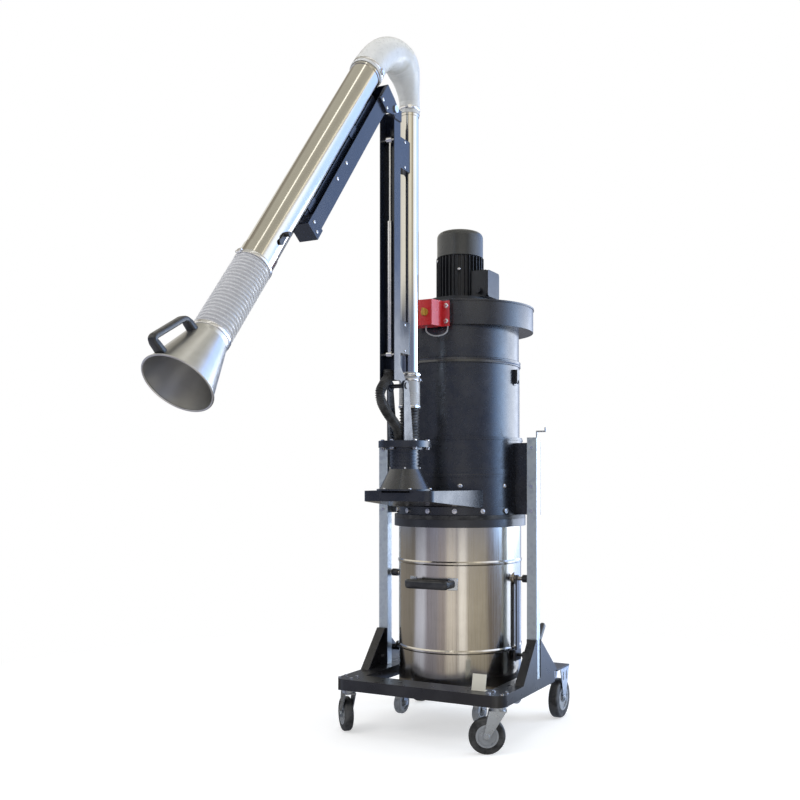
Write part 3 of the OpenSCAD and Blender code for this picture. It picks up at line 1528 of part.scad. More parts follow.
// Puts children at the hood's neck, with -Y along the hood
module in_hood() {
    in_wrist() translate([0, -wrist_l - slip, 0]) rotate([-hood_tilt, 0, 0]) children();
}

module hood() {
    lip = mouth_d / 2;
    outer = [[hood_neck_r, 0], [hood_neck_r, hood_neck_l], [lip, hood_total]];
    inner = [[lip - hood_wall, hood_total], [hood_neck_r - hood_wall, hood_neck_l],
        [hood_neck_r - hood_wall, 0]];
    color(steel) in_hood() rotate([90, 0, 0]) rotate_extrude($fn = 128) {
        polygon(concat(outer, inner));
        translate([lip, hood_total]) circle(hood_lip_r, $fn = handle_sides);
    }
}

// The hood's bow handle
module hood_handle() {
    foot_a = hood_neck_r + max(0, handle_foot_a - hood_neck_l) * handle_flare;
    b = [0, -handle_foot_a, foot_a + handle_stand];
    c = [0, -handle_foot_b, handle_high];
    run = c - b;
    lean = atan2(run[2], -run[1]);
    color(rubber_black) in_hood() difference() {
        union() {
            translate([0, -handle_foot_a, foot_a - handle_r])
                cylinder(r = handle_r, h = handle_stand + handle_r);
            translate([0, -handle_foot_b, handle_foot_r - handle_r])
                cylinder(r = handle_r, h = handle_stand + handle_lift + handle_r);
            translate(b) sphere(handle_r + handle_ball);
            translate(c) sphere(handle_r + handle_ball);
            translate(b) rotate([-lean, 0, 0]) rod_front(handle_r, norm(run));
        }
        rotate([90, 0, 0]) rotate_extrude($fn = 128) polygon([[0, -over], [hood_neck_r + slip, -over],
            [hood_neck_r + slip, hood_neck_l], [mouth_d / 2 + slip, hood_total], [0, hood_total]]);
    }
}

cart_frame();
gussets();
posts();
frame_bolts();
lead_hook();
tag_plate();
front_caster_plates();
caster_fork_left();
caster_fork_right();
rear_caster_forks();
tyre_front_left();
tyre_front_right();
tyre_rear_left();
tyre_rear_right();
hub_front_left();
hub_front_right();
hub_rear_left();
hub_rear_right();
container_body();
container_rim();
container_handle();
container_casters();
container_wheel_1();
container_wheel_2();
container_wheel_3();
container_wheel_4();
lift_links();
release_lever();
container_seal();
lower_chamber();
upper_chamber();
filter_cover();
filter_cartridge();
cover_latch_left();
cover_latch_right();
fan_housing();
impeller();
motor_body();
motor_cowl();
terminal_box();
rotor();
switch_box();
switch_knob();
switch_lead();
inlet_duct();
inlet_cone();
swivel_base();
base_hose();
conduit();
lower_beam();
lower_tube();
gas_spring();
elbow_pin();
elbow_hose();
upper_beam();
upper_tube();
damper();
wrist_hose();
hood();
hood_handle();
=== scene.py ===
import math

import bpy
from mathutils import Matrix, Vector


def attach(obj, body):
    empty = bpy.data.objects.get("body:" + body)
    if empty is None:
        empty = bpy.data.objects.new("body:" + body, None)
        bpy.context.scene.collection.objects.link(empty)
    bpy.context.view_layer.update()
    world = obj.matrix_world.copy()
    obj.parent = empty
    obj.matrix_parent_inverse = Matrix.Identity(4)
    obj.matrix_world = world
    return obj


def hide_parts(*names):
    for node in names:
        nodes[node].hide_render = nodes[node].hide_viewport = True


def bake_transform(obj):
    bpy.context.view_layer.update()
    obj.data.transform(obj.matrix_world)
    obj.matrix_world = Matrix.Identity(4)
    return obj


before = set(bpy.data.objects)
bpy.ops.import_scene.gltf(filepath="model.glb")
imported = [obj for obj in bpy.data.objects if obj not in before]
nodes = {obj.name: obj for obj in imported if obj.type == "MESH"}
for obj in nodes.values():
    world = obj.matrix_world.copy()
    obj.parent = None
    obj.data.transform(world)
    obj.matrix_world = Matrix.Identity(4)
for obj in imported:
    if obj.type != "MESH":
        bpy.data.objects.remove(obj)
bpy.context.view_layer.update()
scene = bpy.context.scene
PI = math.pi

# The chamber axis stands this far along Y in the row frame. Sizes below are millimetres from that axis.
AXIS_Y = 635.115


def at(x, y, z):
    return Vector((x, y + AXIS_Y, z)) / 1000


# ---------------------------------------------------------------- camera
# As fitted to the picture: 3.605 m from the axis, 0.924 m up, turned to the right-hand side
data = bpy.data.cameras.new("camera")
data.sensor_width = 36
data.lens = 42.75
data.shift_x = -0.0751
data.shift_y = 0.0988
camera = bpy.data.objects.new("camera", data)
scene.collection.objects.link(camera)
TURN = math.radians(26.64)
camera.location = (1.6164, (AXIS_Y - 3222.3) / 1000, 0.924)
camera.rotation_euler = Vector((-math.sin(TURN), math.cos(TURN), 0)).to_track_quat("-Z", "Y").to_euler()
scene.camera = camera


# ---------------------------------------------------------------- materials
class Look:
    """A node material round one Principled shader, in the piece's own coordinates."""

    def __init__(self, name):
        self.m = bpy.data.materials.new(name)
        self.m.use_nodes = True
        self.t = self.m.node_tree
        self.t.nodes.clear()
        self.out = self.add("ShaderNodeOutputMaterial")
        self.b = self.add("ShaderNodeBsdfPrincipled")
        self.join(self.b, "BSDF", self.out, "Surface")
        self.coord = self.add("ShaderNodeTexCoord")

    def add(self, kind, **settings):
        node = self.t.nodes.new(kind)
        for key, value in settings.items():
            setattr(node, key, value)
        return node

    def join(self, a, out, b, into):
        self.t.links.new(a.outputs[out], b.inputs[into])

    def place(self, turn=(0, 0, 0), scale=(1, 1, 1)):
        """Coordinates turned first and scaled after."""
        first = self.add("ShaderNodeMapping")
        first.inputs["Rotation"].default_value = turn
        self.join(self.coord, "Object", first, "Vector")
        second = self.add("ShaderNodeMapping")
        second.inputs["Scale"].default_value = scale
        self.join(first, "Vector", second, "Vector")
        return second

    def noise(self, place, scale, detail, rough):
        n = self.add("ShaderNodeTexNoise")
        n.inputs["Scale"].default_value = scale
        n.inputs["Detail"].default_value = detail
        n.inputs["Roughness"].default_value = rough
        self.join(place, "Vector", n, "Vector")
        return n

    def ramp(self, source, out, stops):
        r = self.add("ShaderNodeValToRGB")
        while len(r.color_ramp.elements) < len(stops):
            r.color_ramp.elements.new(0.5)
        for e, (p, c) in zip(r.color_ramp.elements, stops):
            e.position = p
            e.color = (*c, 1)
        self.join(source, out, r, "Fac")
        return r

    def span(self, source, out, low, high, a=0.3, b=0.7):
        r = self.add("ShaderNodeMapRange")
        r.inputs["From Min"].default_value = a
        r.inputs["From Max"].default_value = b
        r.inputs["To Min"].default_value = low
        r.inputs["To Max"].default_value = high
        self.join(source, out, r, "Value")
        return r

    def bump(self, source, out, strength, distance, after=None):
        n = self.add("ShaderNodeBump")
        n.inputs["Strength"].default_value = strength
        n.inputs["Distance"].default_value = distance
        self.join(source, out, n, "Height")
        if after is not None:
            self.join(after, "Normal", n, "Normal")
        return n

    def soften(self, radius):
        """Edges rounded in the shading only, by a radius in metres."""
        n = self.add("ShaderNodeBevel", samples=3)
        n.inputs["Radius"].default_value = radius
        return n

    def mix(self, share, a, a_out, b, b_out):
        """Two tones mixed by a fixed share."""
        n = self.add("ShaderNodeMixRGB")
        n.inputs["Fac"].default_value = share
        self.join(a, a_out, n, "Color1")
        self.join(b, b_out, n, "Color2")
        return n


def mixed(a, b, share):
    """One colour part of the way to another."""
    return tuple(x + (y - x) * share for x, y in zip(a, b))


PAINT_EDGE, ZINC_EDGE, PLASTIC_EDGE = 0.0009, 0.0012, 0.0008
DUST = (0.32, 0.31, 0.30, 1)
PLASTIC_GRAIN = 500


def paint(name, colour, rough, patch=6.0, grain=900.0, peel=0.10, spread=0.35, coat=0.0, spec=0.5,
          dust=0.0):
    """Powder coat: patchy colour, a fine orange peel, softened edges, dust on what faces up."""
    k = Look(name)
    flat = k.place()
    broad = k.noise(flat, patch, 5, 0.6)
    light = mixed(colour, (0.5, 0.5, 0.52), 0.02 + 0.03 * spread)
    dark = mixed(colour, (0, 0, 0), spread * 0.4)
    tone = k.ramp(broad, "Fac", [(0.32, dark), (0.52, colour), (0.72, light)])
    if dust:
        speck = k.noise(flat, 160, 6, 0.7)
        top = k.add("ShaderNodeNewGeometry")
        split = k.add("ShaderNodeSeparateXYZ")
        k.join(top, "Normal", split, "Vector")
        up = k.span(split, "Z", 0.0, 1.0, 0.6, 1.0)
        hold = k.span(speck, "Fac", 0.0, dust, 0.45, 0.75)
        both = k.add("ShaderNodeMath", operation="MULTIPLY")
        k.join(up, "Result", both, 0)
        k.join(hold, "Result", both, 1)
        over = k.add("ShaderNodeMixRGB")
        over.inputs["Color2"].default_value = DUST
        k.join(both, "Value", over, "Fac")
        k.join(tone, "Color", over, "Color1")
        tone = over
    k.join(tone, "Color", k.b, "Base Color")
    sheen = k.span(k.noise(flat, patch * 5, 5, 0.65), "Fac", rough - 0.05, rough + 0.07)
    k.join(sheen, "Result", k.b, "Roughness")
    k.b.inputs["Coat Weight"].default_value = coat
    k.b.inputs["Coat Roughness"].default_value = 0.2
    k.b.inputs["Specular IOR Level"].default_value = spec
    skin = k.bump(k.noise(flat, grain, 2, 0.5), "Fac", peel, 0.0004, k.soften(PAINT_EDGE))
    k.join(skin, "Normal", k.b, "Normal")
    return k.m


def metal(name, colour, rough, turn=(0, 0, 0), stretch=(1, 1, 1), streak=300.0, contrast=0.12, wander=0.05,
          scratch=0.12, aniso=0.0, round_edge=0.0):
    """Bare sheet or tube: streaks along the drawing direction, cloudy tone, fine scratches."""
    k = Look(name)
    lined = k.place(turn, stretch)
    flat = k.place()
    fine = k.noise(lined, streak, 4, 0.6)
    cloud = k.noise(flat, 7, 5, 0.6)
    both = k.mix(0.45, fine, "Fac", cloud, "Fac")
    tone = k.ramp(both, "Color", [
        (0.34, mixed(colour, (0.05, 0.045, 0.04), contrast * 1.4)), (0.5, colour),
        (0.66, mixed(colour, (1, 1, 1), contrast))])
    k.join(tone, "Color", k.b, "Base Color")
    k.b.inputs["Metallic"].default_value = 1.0
    k.join(k.span(fine, "Fac", rough - wander, rough + wander), "Result", k.b, "Roughness")
    if aniso:
        k.b.inputs["Anisotropic"].default_value = aniso
        k.b.inputs["Anisotropic Rotation"].default_value = 0.25
        tangent = k.add("ShaderNodeTangent", direction_type="RADIAL", axis="Z")
        k.join(tangent, "Tangent", k.b, "Tangent")
    after = k.soften(round_edge) if round_edge else None
    k.join(k.bump(fine, "Fac", scratch, 0.0002, after), "Normal", k.b, "Normal")
    return k.m


def galvanised(name, colour, rough=0.42):
    """Zinc spangle: flat crystals of slightly different tone and shine."""
    k = Look(name)
    flat = k.place()
    cells = k.add("ShaderNodeTexVoronoi")
    cells.inputs["Scale"].default_value = 95
    k.join(flat, "Vector", cells, "Vector")
    grey = k.add("ShaderNodeRGBToBW")
    k.join(cells, "Color", grey, "Color")
    cloud = k.noise(flat, 14, 6, 0.6)
    both = k.mix(0.55, grey, "Val", cloud, "Fac")
    tone = k.ramp(both, "Color", [
        (0.3, mixed(colour, (0.1, 0.12, 0.14), 0.12)), (0.5, colour), (0.7, mixed(colour, (1, 1, 1), 0.08))])
    k.join(tone, "Color", k.b, "Base Color")
    k.b.inputs["Metallic"].default_value = 0.9
    k.join(k.span(both, "Color", rough - 0.08, rough + 0.1), "Result", k.b, "Roughness")
    k.join(k.bump(cloud, "Fac", 0.08, 0.0005, k.soften(ZINC_EDGE)), "Normal", k.b, "Normal")
    return k.m


def plastic(name, colour, rough, bump=0.12, spread=0.12, coat=0.0, metallic=0.0):
    """Moulded plastic or rubber: fine grain, faint mottling."""
    k = Look(name)
    flat = k.place()
    tone = k.ramp(k.noise(flat, 25, 5, 0.6), "Fac", [
        (0.35, mixed(colour, (0, 0, 0), spread)), (0.65, mixed(colour, (1, 1, 1), spread * 0.25))])
    k.join(tone, "Color", k.b, "Base Color")
    k.b.inputs["Metallic"].default_value = metallic
    k.b.inputs["Coat Weight"].default_value = coat
    sheen = k.span(k.noise(flat, 60, 4, 0.6), "Fac", rough - 0.06, rough + 0.08)
    k.join(sheen, "Result", k.b, "Roughness")
    skin = k.bump(k.noise(flat, PLASTIC_GRAIN, 3, 0.6), "Fac", bump, 0.0004, k.soften(PLASTIC_EDGE))
    k.join(skin, "Normal", k.b, "Normal")
    return k.m


def clear_hose(name, film, rib, rough, clear, grain=0.18):
    """Pale soft hose: a milky film, a paler rib where the mesh marks one, faint clouds."""
    k = Look(name)
    flat = k.place()
    mark = k.add("ShaderNodeAttribute", attribute_name="rib")
    cloud = k.ramp(k.noise(flat, 28, 5, 0.6), "Fac", [
        (0.3, mixed(film, (0.3, 0.31, 0.34), 0.10)), (0.55, film), (0.75, mixed(film, (1, 1, 1), 0.15))])
    mix = k.add("ShaderNodeMixRGB")
    mix.inputs["Color2"].default_value = (*rib, 1)
    k.join(mark, "Fac", mix, "Fac")
    k.join(cloud, "Color", mix, "Color1")
    k.join(mix, "Color", k.b, "Base Color")
    sheen = k.span(k.noise(flat, 90, 4, 0.6), "Fac", rough - 0.05, rough + 0.1)
    k.join(sheen, "Result", k.b, "Roughness")
    k.b.inputs["Transmission Weight"].default_value = clear
    k.b.inputs["IOR"].default_value = 1.38
    k.b.inputs["Coat Weight"].default_value = 0.3
    k.b.inputs["Coat Roughness"].default_value = 0.12
    k.b.inputs["Subsurface Weight"].default_value = 0.15
    k.b.inputs["Subsurface Radius"].default_value = (0.004, 0.004, 0.004)
    k.join(k.bump(k.noise(flat, 140, 3, 0.5), "Fac", grain, 0.0005), "Normal", k.b, "Normal")
    return k.m


# The upper arm falls by this angle; its tube's streaks run along it
DROP = math.radians(52.3)
ARM_TURN = (-(PI / 2 - DROP), 0, 0)
ALONG_Z = (1, 1, 0.02)

cart_black = paint("cart_paint", (0.009, 0.010, 0.014), 0.30, dust=0.04, peel=0.03, spec=1.0)
machine_black = paint("machine_paint", (0.010, 0.012, 0.018), 0.26, peel=0.02, spread=0.25, spec=1.0)
# Black paint for the two beams; its blue tint is a painted reflection of the bluish window light to the right
beam_black_blue_reflection = paint("beam_paint", (0.012, 0.017, 0.032), 0.22, patch=4, peel=0.02, spread=0.2, spec=0.6)
red = paint("signal_paint", (0.60, 0.016, 0.022), 0.28, coat=0.4, spread=0.15)
cream = paint("tag_paint", (0.80, 0.77, 0.66), 0.5, spread=0.12)
motor_grey = paint("motor_paint", (0.016, 0.018, 0.023), 0.36, peel=0.2, grain=420)
cowl_grey = paint("cowl_paint", (0.036, 0.037, 0.036), 0.30, peel=0.12, grain=420, coat=0.2)
post_zinc = galvanised("galvanised", (0.66, 0.73, 0.76))
zinc = galvanised("zinc", (0.60, 0.64, 0.69), 0.3)
bolt_zinc = metal("bolt_zinc", (0.80, 0.80, 0.82), 0.24, contrast=0.08, round_edge=0.0006)
sheet_steel = metal("stainless_sheet", (0.64, 0.60, 0.54), 0.17, stretch=ALONG_Z, streak=260,
                    wander=0.04, scratch=0.04, aniso=0.45)
tube_steel = metal("polished_tube", (0.68, 0.655, 0.60), 0.12, stretch=ALONG_Z, streak=420, contrast=0.08,
                   scratch=0.02)
arm_steel = metal("polished_arm_tube", (0.66, 0.635, 0.575), 0.12, turn=ARM_TURN, stretch=ALONG_Z,
                  streak=420, contrast=0.08, scratch=0.02)
hood_steel = metal("hood_steel", (0.62, 0.62, 0.61), 0.34, streak=40, contrast=0.05, wander=0.03,
                   scratch=0.015)
cast_alloy = metal("cast_alloy", (0.55, 0.56, 0.57), 0.42, contrast=0.1, streak=90)
rubber = plastic("wheel_rubber", (0.012, 0.012, 0.013), 0.5, spread=0.3)
soft_black = plastic("black_rubber", (0.010, 0.010, 0.011), 0.42, spread=0.3)
hub_grey = plastic("hub_plastic", (0.42, 0.44, 0.47), 0.3, coat=0.2, metallic=0.3)
black_plastic = plastic("black_plastic", (0.014, 0.015, 0.018), 0.32, coat=0.15)
yellow = plastic("yellow_plastic", (0.60, 0.34, 0.05), 0.3, coat=0.3)
filter_cloth = plastic("filter_media", (0.72, 0.71, 0.66), 0.85, bump=0.4)
lead_grey = plastic("lead_plastic", (0.34, 0.35, 0.37), 0.42)
elbow_pvc = clear_hose("elbow_pvc", (0.74, 0.745, 0.735), (0.80, 0.80, 0.80), 0.28, 0.0, grain=0.03)
wrist_pvc = clear_hose("wrist_pvc", (0.66, 0.66, 0.69), (0.93, 0.93, 0.94), 0.22, 0.06)
cuff_pvc = clear_hose("cuff_pvc", (0.52, 0.53, 0.55), (0.70, 0.71, 0.72), 0.3, 0.15)

WEAR = {
    cart_black: ["cart_frame", "gussets", "container_rim", "lift_links", "release_lever",
                 "cover_latch_left", "cover_latch_right"],
    machine_black: ["lower_chamber", "upper_chamber", "filter_cover", "fan_housing", "inlet_duct",
                    "inlet_cone", "swivel_base"],
    beam_black_blue_reflection: ["lower_beam", "upper_beam"],
    red: ["switch_box"],
    cream: ["tag_plate"],
    motor_grey: ["motor_body", "terminal_box"],
    cowl_grey: ["motor_cowl"],
    post_zinc: ["posts"],
    zinc: ["front_caster_plates", "caster_fork_left", "caster_fork_right", "rear_caster_forks",
           "lead_hook", "container_casters"],
    bolt_zinc: ["frame_bolts", "elbow_pin", "gas_spring", "rotor"],
    sheet_steel: ["container_body"],
    tube_steel: ["lower_tube"],
    arm_steel: ["upper_tube"],
    hood_steel: ["hood"],
    cast_alloy: ["impeller"],
    rubber: ["tyre_front_left", "tyre_front_right", "tyre_rear_left", "tyre_rear_right"],
    soft_black: ["container_seal"],
    hub_grey: ["hub_front_left", "hub_front_right", "hub_rear_left", "hub_rear_right",
               "container_wheel_1", "container_wheel_2", "container_wheel_3", "container_wheel_4"],
    black_plastic: ["container_handle", "damper"],
    yellow: ["switch_knob"],
    filter_cloth: ["filter_cartridge"],
}
for look, names in WEAR.items():
    for n in names:
        nodes[n].data.materials.clear()
        nodes[n].data.materials.append(look)


# ---------------------------------------------------------------- mesh tools
def outward(degrees):
    """A level direction at an angle from +X."""
    a = math.radians(degrees)
    return Vector((math.cos(a), math.sin(a), 0))


def piece(name, verts, faces, look, angle=35):
    mesh = bpy.data.meshes.new(name)
    mesh.from_pydata([tuple(v) for v in verts], [], faces)
    mesh.validate()
    mesh.update()
    mesh.materials.append(look)
    mesh.shade_smooth()
    mesh.set_sharp_from_angle(angle=math.radians(angle))
    ob = bpy.data.objects.new(name, mesh)
    scene.collection.objects.link(ob)
    return ob


def axes_of(path, side):
    """A direction across and one up for each point of a path."""
    found = []
    last = len(path) - 1
    for i in range(len(path)):
        t = (path[min(i + 1, last)] - path[max(i - 1, 0)]).normalized()
        across = (side - t * side.dot(t)).normalized()
        found.append((across, t.cross(across)))
    return found


def tube(path, outer, inner, sides, side=Vector((1, 0, 0))):
    """Vertices and faces of a tube; outer and inner give a radius in metres for (ring, angle).

    It is solid, with flat ends, where inner is None."""
    verts, faces = [], []
    axes = axes_of(path, side)
    for shape in (outer, inner):
        if shape is None:
            continue
        for i, p in enumerate(path):
            across, up = axes[i]
            for k in range(sides):
                a = 2 * PI * k / sides
                verts.append(p + (across * math.cos(a) + up * math.sin(a)) * shape(i, a))
    n, m = len(path), len(path) * sides
    for i in range(n - 1):
        for k in range(sides):
            a, b = i * sides + k, i * sides + (k + 1) % sides
            c, d = a + sides, b + sides
            faces.append((a, b, d, c))
            if inner:
                faces.append((m + a, m + c, m + d, m + b))
    last = (n - 1) * sides
    if inner:
        for k in range(sides):
            k2 = (k + 1) % sides
            faces.append((k, m + k, m + k2, k2))
            faces.append((last + k, last + k2, m + last + k2, m + last + k))
    else:
        faces.append(tuple(range(sides - 1, -1, -1)))
        faces.append(tuple(range(last, last + sides)))
    return verts, faces


def lathe(centre, axis, profile, sides=48):
    """A closed profile of (along, radius) in millimetres turned about an axis."""
    axis = Vector(axis).normalized()
    ref = Vector((1, 0, 0)) if abs(axis.x) < 0.9 else Vector((0, 1, 0))
    across = (ref - axis * ref.dot(axis)).normalized()
    up = axis.cross(across)
    verts, faces = [], []
    n = len(profile)
    for k in range(sides):
        a = 2 * PI * k / sides
        for along, r in profile:
            spoke = across * math.cos(a) + up * math.sin(a)
            verts.append(centre + axis * (along / 1000) + spoke * (r / 1000))
    for k in range(sides):
        k2 = (k + 1) % sides
        for j in range(n):
            j2 = (j + 1) % n
            faces.append((k * n + j, k * n + j2, k2 * n + j2, k2 * n + j))
    return verts, faces


def cut_box(centre, x, y, z, size, cut):
    """A box with cut corners, on three axes, sizes in millimetres."""
    hx, hy, hz = (s / 2000 for s in size)
    c = cut / 1000
    verts = []
    for sz, inset in ((-hz, c), (-hz + c, 0), (hz - c, 0), (hz, c)):
        w, d = hx - inset, hy - inset
        for px, py in ((-w + c, -d), (w - c, -d), (w, -d + c), (w, d - c),
                       (w - c, d), (-w + c, d), (-w, d - c), (-w, -d + c)):
            verts.append(centre + x * px + y * py + z * sz)
    faces = [tuple(range(7, -1, -1)), tuple(range(24, 32))]
    for r in range(3):
        for k in range(8):
            faces.append((r * 8 + k, r * 8 + (k + 1) % 8, r * 8 + 8 + (k + 1) % 8, r * 8 + 8 + k))
    return verts, faces


class Pile:
    """Several small solids of one material gathered in one piece."""

    def __init__(self):
        self.v, self.f = [], []

    def put(self, made):
        verts, faces = made
        base = len(self.v)
        self.v += verts
        self.f += [tuple(base + i for i in f) for f in faces]

    def piece(self, name, look, body, slot=None):
        ob = piece(name, self.v, self.f, look)
        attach(ob, body)


def hex_head(centre, axis, r, h, washer=0.0):
    """A hexagon head with a chamfered crown, on a washer if it has one."""
    axis = Vector(axis).normalized()
    ref = Vector((0, 0, 1)) if abs(axis.z) < 0.9 else Vector((0, 1, 0))
    across = (ref - axis * ref.dot(axis)).normalized()
    up = axis.cross(across)
    verts, faces = [], []
    for along, rad in ((washer, r), (washer + h * 0.82, r), (washer + h, r * 0.84)):
        for k in range(6):
            a = PI * k / 3
            spoke = across * math.cos(a) + up * math.sin(a)
            verts.append(centre + axis * (along / 1000) + spoke * rad / 1000)
    for j in range(2):
        for k in range(6):
            k2 = (k + 1) % 6
            faces.append((j * 6 + k, j * 6 + k2, j * 6 + 6 + k2, j * 6 + 6 + k))
    faces.append(tuple(range(12, 18)))
    faces.append(tuple(range(5, -1, -1)))
    if washer:
        disc = [(0, 0.2), (0, r * 1.28), (washer * 0.7, r * 1.28), (washer, r * 1.2), (washer, 0.2)]
        more_verts, more_faces = lathe(centre, axis, disc, 24)
        base = len(verts)
        verts += more_verts
        faces += [tuple(base + i for i in f) for f in more_faces]
    return verts, faces


def pan_head(centre, axis, r, h):
    """A round head with a rolled edge and a socket in its crown."""
    crown = [(0, 0.1), (0, r), (h * 0.35, r), (h * 0.62, r * 0.93), (h * 0.85, r * 0.75), (h, r * 0.48)]
    socket = [(h, r * 0.40), (h * 0.45, r * 0.36), (h * 0.45, 0.1)]
    return lathe(centre, axis, crown + socket, 20)


# ---------------------------------------------------------------- frames of the arm
# Upright axes of the lower tube and of the swivel; both stand in the arm's middle plane
TUBE_Y = -387
SWIVEL_Y = -418

along_arm = Vector((0, -math.cos(DROP), -math.sin(DROP)))
up_arm = Vector((0, -math.sin(DROP), math.cos(DROP)))
ELBOW = at(0, -543, 2132)


def on_arm(s, t, x=0.0):
    """A point at s along the upper arm from its hinge, t above it and x to the side."""
    return ELBOW + along_arm * (s / 1000) + up_arm * (t / 1000) + Vector((x / 1000, 0, 0))


def turned(a, b, degrees):
    """Two axes turned towards each other by an angle."""
    r = math.radians(degrees)
    return a * math.cos(r) + b * math.sin(r), b * math.cos(r) - a * math.sin(r)


# Distance of the upper tube's axis from the hinge, and length of the wrist hose
TUBE_UP = 143
HOSE_L = 276
along_wrist, up_wrist = turned(along_arm, up_arm, 0.6)
WRIST = on_arm(920.3, TUBE_UP)
HOSE_END = WRIST + along_wrist * (HOSE_L / 1000)
along_hood, up_hood = turned(along_wrist, up_wrist, 3.7)
HOOD = WRIST + along_wrist * ((HOSE_L + 0.3) / 1000)


def on_hood(s, t):
    """A point at s along the hood's axis and t above it."""
    return HOOD + along_hood * (s / 1000) + up_hood * (t / 1000)


def bump_of(x, width):
    """0 to 1 and back over a width, once for each whole x."""
    d = abs((x + 0.5) % 1.0 - 0.5) / width
    return math.cos(d * PI / 2) ** 2 if d < 1 else 0.0


def mark_ribs(ob, values):
    """Tells the hose material where the ribs are."""
    a = ob.data.attributes.new("rib", "FLOAT", "POINT")
    a.data.foreach_set("value", values)


def routed(points, steps):
    """A smooth curve through points, as the solid's is."""
    n = len(points) - 1
    out = []
    for i in range(steps + 1):
        x = min(i / steps * n, n - 1e-6)
        j = int(x)
        t = x - j
        a, b, c, d = (points[k] for k in (max(j - 1, 0), j, j + 1, min(j + 2, n)))
        out.append(0.5 * ((2 * b) + (c - a) * t + (2 * a - 5 * b + 4 * c - d) * t * t
                          + (3 * b - a - 3 * c + d) * t ** 3))
    return out


def rounded_corner(a, b, c):
    """Nine points of a curve from a to c that leans towards b."""
    points = []
    for k in range(9):
        t = k / 8
        points.append((1 - t) ** 2 * a + 2 * t * (1 - t) * b + t * t * c)
    return points


def rounded_section(angle, across, deep, power):
    """Radius of a rounded rectangle of two half sizes."""
    c, s = abs(math.cos(angle)), abs(math.sin(angle))
    return 1 / ((c / across) ** power + (s / deep) ** power) ** (1 / power)


# ---------------------------------------------------------------- cords
CONDUIT_RIBS = 44
CONDUIT_CORE, CONDUIT_RIB, CONDUIT_BORE = 0.0138, 0.0032, 0.0112
conduit_route = [at(*p) for p in [
    (-6, -518, 1284), (-6, -519, 1262), (-10, -541, 1236), (-12, -559, 1208), (-11, -551, 1176),
    (-6, -524, 1142), (3, -495, 1112), (8, -479, 1088), (9, -476, 1053.6)]]
path = routed(conduit_route, 360)
walked = [0.0]
for a, b in zip(path, path[1:]):
    walked.append(walked[-1] + (b - a).length)
conduit_pitch = walked[-1] / CONDUIT_RIBS


def conduit_radius(i, angle):
    return CONDUIT_CORE + CONDUIT_RIB * min(1.0, bump_of(walked[i] / conduit_pitch, 0.36) * 1.6)


verts, faces = tube(path, conduit_radius, lambda i, a: CONDUIT_BORE, 32)
conduit = piece("conduit_tube", verts, faces, soft_black, 60)
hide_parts("conduit")
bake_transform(conduit)

LEAD_R = 0.0025
lead_route = [at(*p) for p in [
    (10, -286, 1462), (11, -288, 1447), (22, -287, 1434), (44, -282, 1426), (66, -270, 1430),
    (76, -258, 1441), (77, -252, 1453), (77, -250, 1462)]]
path = routed(lead_route, 72)
verts, faces = tube(path, lambda i, a: LEAD_R, None, 14, Vector((0.3, 1, 0)))
lead = piece("switch_wire", verts, faces, lead_grey, 60)
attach(lead, "machine")
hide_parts("switch_lead")

# ---------------------------------------------------------------- elbow hose
# It runs from the upper tube's end over the hinge down onto the lower tube. Radii in millimetres, but for
# its wall and the sleeves over the two tubes, (bore, outside), which are in metres.
ELBOW_R, ELBOW_FOOT_R, ELBOW_BULGE = 51.0, 33.0, 6.0
TOP_SLEEVE, FOOT_SLEEVE = (0.0504, 0.0522), (0.0334, 0.0350)
ELBOW_WALL = 0.0018
top, foot = on_arm(-10.3, TUBE_UP), at(0, TUBE_Y, 2207.3)
a = top - along_arm * 0.006
d = foot + Vector((0, 0, 0.006))
b = a - along_arm * 0.125
c = d + Vector((0, -0.036, 0.200))
STEPS = 110
bend = []
for i in range(STEPS + 1):
    t = i / STEPS
    u = 1 - t
    bend.append(a * u ** 3 + b * 3 * u * u * t + c * 3 * u * t * t + d * t ** 3)
LEAD_IN = 14
path = ([a + along_arm * (0.040 * (1 - i / LEAD_IN)) for i in range(LEAD_IN)] + bend
        + [d - Vector((0, 0, 0.042 * (i + 1) / LEAD_IN)) for i in range(LEAD_IN)])


def elbow_radius(i, angle):
    j = i - LEAD_IN
    if j < 0:
        return TOP_SLEEVE[1]
    if j > STEPS:
        return FOOT_SLEEVE[1]
    t = j / STEPS
    r = ELBOW_R - (ELBOW_R - ELBOW_FOOT_R) * max(0.0, t - 0.8) / 0.2
    r += (1.2 * max(0.0, 1 - t * 22) + 2.0 * max(0.0, 1 - (1 - t) * 22)
          + ELBOW_BULGE * math.exp(-((t - 0.68) / 0.13) ** 2))
    fold = 0.35 * math.sin(j * 0.55 - angle) + 0.25 * math.sin(j * 0.21 + 3 * angle)
    pinch = 0.8 * math.sin(j * 0.9) * max(0.0, -math.sin(angle)) * math.sin(PI * t)
    return (r + fold * 0.6 * math.sin(PI * t) + pinch * 0.35) / 1000


def elbow_bore(i, angle):
    j = i - LEAD_IN
    if j < 0:
        return TOP_SLEEVE[0]
    if j > STEPS:
        return FOOT_SLEEVE[0]
    return elbow_radius(i, angle) - ELBOW_WALL


verts, faces = tube(path, elbow_radius, elbow_bore, 56)
elbow_hose = piece("elbow_hose_skin", verts, faces, elbow_pvc, 60)
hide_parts("elbow_hose")
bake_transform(elbow_hose)

